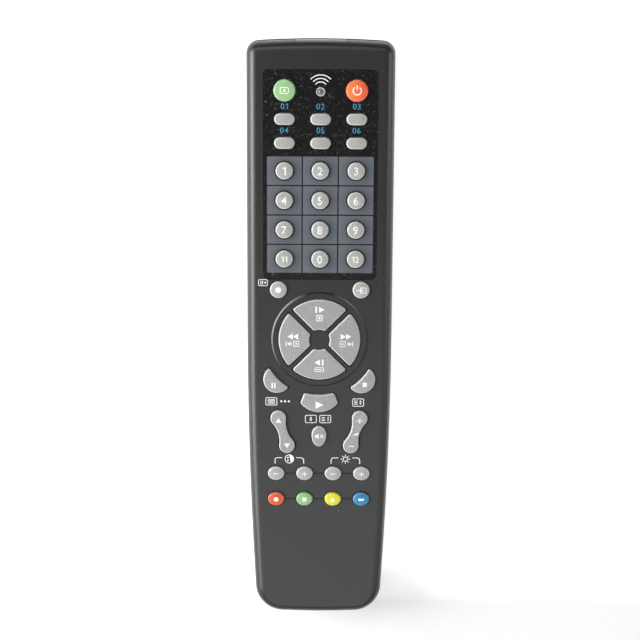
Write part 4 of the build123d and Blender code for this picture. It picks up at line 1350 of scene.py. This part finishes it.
class REMOTE_OT_stage(bpy.types.Operator):
    """Makes the floor, the light and the camera"""

    bl_idname = "remote.stage"
    bl_label = "Stage"

    def execute(self, context):
        self.make_floor(context.scene)
        self.make_sky(context.scene)
        self.make_lamps(context.scene)
        self.make_camera(context.scene)
        context.scene.view_settings.view_transform = "Standard"
        return {"FINISHED"}

    def make_floor(self, scene):
        """A white floor that keeps the shadow and can't be seen from below."""
        half_side = 3.0
        drop = 0.05 * mm
        mesh = bpy.data.meshes.new("studio_floor")
        sheet = bmesh.new()
        bmesh.ops.create_grid(sheet, x_segments=1, y_segments=1, size=half_side)
        bmesh.ops.translate(sheet, vec=(0, 0, -drop), verts=sheet.verts[:])
        sheet.to_mesh(mesh)
        sheet.free()
        mesh.materials.append(self.make_floor_material())
        floor = bpy.data.objects.new("studio_floor", mesh)
        scene.collection.objects.link(floor)

    def make_floor_material(self):
        """Matt white, lifted where it is seen but less beyond the foot, where the shadow shows."""
        white = (0.82, 0.82, 0.82, 1)
        foot_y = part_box("bottom_case")[0].y
        shadow_y = foot_y - 4 * mm
        pale_y = foot_y + 12 * mm
        material = bpy.data.materials.new("studio_white")
        material.use_nodes = True
        tree = material.node_tree
        tree.nodes.clear()
        path = add_node(tree, "ShaderNodeLightPath").outputs
        seen = combine(tree, "MAXIMUM", path["Is Camera Ray"], path["Is Glossy Ray"])
        seen = combine(tree, "MAXIMUM", seen, path["Is Transmission Ray"])
        along = place_values(tree)[1]
        lift = ramp(tree, along, shadow_y, pale_y, studio().foot_glow, studio().floor_glow)
        reach = add_node(tree, "ShaderNodeVectorMath", {0: object_place(tree)}, operation="LENGTH")
        far = ramp(tree, reach.outputs["Value"], start=0.18, end=0.5)
        glow = times(tree, seen, combine(tree, "MAXIMUM", lift, far))
        matt = add_node(tree, "ShaderNodeBsdfDiffuse", {"Color": white})
        light = add_node(tree, "ShaderNodeEmission", {"Strength": glow})
        lifted = add_node(tree, "ShaderNodeAddShader", {0: matt.outputs[0], 1: light.outputs[0]})
        clear = add_node(tree, "ShaderNodeBsdfTransparent")
        under = add_node(tree, "ShaderNodeNewGeometry").outputs["Backfacing"]
        sides = add_node(tree, "ShaderNodeMixShader", {0: under, 1: lifted.outputs[0], 2: clear.outputs[0]})
        add_node(tree, "ShaderNodeOutputMaterial", {"Surface": sides.outputs[0]})
        return material

    def make_sky(self, scene):
        """An even weak light from all round that looks white to the camera."""
        world = bpy.data.worlds.new("studio_sky")
        world.use_nodes = True
        scene.world = world
        tree = world.node_tree
        path = add_node(tree, "ShaderNodeLightPath").outputs
        strength = between(tree, path["Is Camera Ray"], low=studio().sky, high=1.0)
        fill_inputs(tree, tree.nodes["Background"], {"Color": (1, 1, 1, 1), "Strength": strength})

    def make_lamps(self, scene):
        """Six softboxes aimed at the middle of the face."""
        aim = Vector((0, 0, 20 * mm))
        # name, place, width and height, in metres
        softboxes = (
            ("key", (-0.15, 0.55, 0.85), 0.4, 0.3),
            ("strip", (-0.6, 0.0, 0.44), 0.85, 0.5),
            ("end", (-0.5, 0.08, 0.36), 0.22, 0.4),
            ("foot", (0.0, -0.4, 0.55), 0.6, 0.6),
            ("fill", (0.55, -0.15, 0.42), 0.7, 0.5),
            ("corner", (0.6, 0.1, 0.34), 0.2, 0.3),
        )
        for name, place, width, height in softboxes:
            lamp = bpy.data.lights.new(f"{name}_softbox", "AREA")
            lamp.shape = "RECTANGLE"
            lamp.size = width
            lamp.size_y = height
            lamp.energy = getattr(studio(), f"{name}_power")
            softbox = bpy.data.objects.new(f"{name}_softbox", lamp)
            scene.collection.objects.link(softbox)
            softbox.location = place
            softbox.rotation_euler = (aim - Vector(place)).to_track_quat("-Z", "Y").to_euler()

    def make_camera(self, scene):
        """A long lens above the face, leaning towards the infrared end."""
        data = bpy.data.cameras.new("camera")
        data.sensor_width = 36
        data.lens = studio().lens
        data.clip_start = 0.01
        camera = bpy.data.objects.new("camera", data)
        scene.collection.objects.link(camera)
        target = Vector((studio().target_x, studio().target_y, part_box("top_case")[1].z))
        turn = Matrix.Rotation(studio().roll, 4, "Z") @ Matrix.Rotation(-studio().tilt, 4, "X")
        away = Matrix.Translation((0, 0, studio().distance))
        camera.matrix_world = Matrix.Translation(target) @ turn @ away
        scene.camera = camera


class REMOTE_PT_panel(bpy.types.Panel):
    """Lists the steps and their settings in the sidebar"""

    bl_idname = "REMOTE_PT_panel"
    bl_label = "Remote Control"
    bl_space_type = "VIEW_3D"
    bl_region_type = "UI"
    bl_category = "Remote"

    def draw(self, context):
        for step in steps:
            self.layout.operator(step.bl_idname)
        for group in (colours(), marks(), studio()):
            box = self.layout.box()
            for name in group.bl_rna.properties.keys():
                if name not in ("rna_type", "name"):
                    box.prop(group, name)


settings_groups = {
    "remote_colours": RemoteColours,
    "remote_marks": RemoteMarks,
    "remote_studio": RemoteStudio,
}
steps = (
    REMOTE_OT_effects,
    REMOTE_OT_case,
    REMOTE_OT_fascia,
    REMOTE_OT_keys,
    REMOTE_OT_inside,
    REMOTE_OT_numbers,
    REMOTE_OT_labels,
    REMOTE_OT_signal,
    REMOTE_OT_modes,
    REMOTE_OT_pad,
    REMOTE_OT_playback,
    REMOTE_OT_rockers,
    REMOTE_OT_levels,
    REMOTE_OT_prints,
    REMOTE_OT_cells,
    REMOTE_OT_stage,
)


def register():
    """Registers the settings, the steps and the panel."""
    for name, group in settings_groups.items():
        bpy.utils.register_class(group)
        setattr(bpy.types.Scene, name, bpy.props.PointerProperty(type=group))
    for step in steps:
        bpy.utils.register_class(step)
    bpy.utils.register_class(REMOTE_PT_panel)


def unregister():
    """Takes the panel, the steps and the settings out again."""
    bpy.utils.unregister_class(REMOTE_PT_panel)
    for step in reversed(steps):
        bpy.utils.unregister_class(step)
    for name, group in settings_groups.items():
        delattr(bpy.types.Scene, name)
        bpy.utils.unregister_class(group)


def main():
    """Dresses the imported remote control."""
    register()
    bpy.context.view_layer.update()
    for step in steps:
        area, name = step.bl_idname.split(".")
        getattr(getattr(bpy.ops, area), name)()


if __name__ == "__main__":
    main()
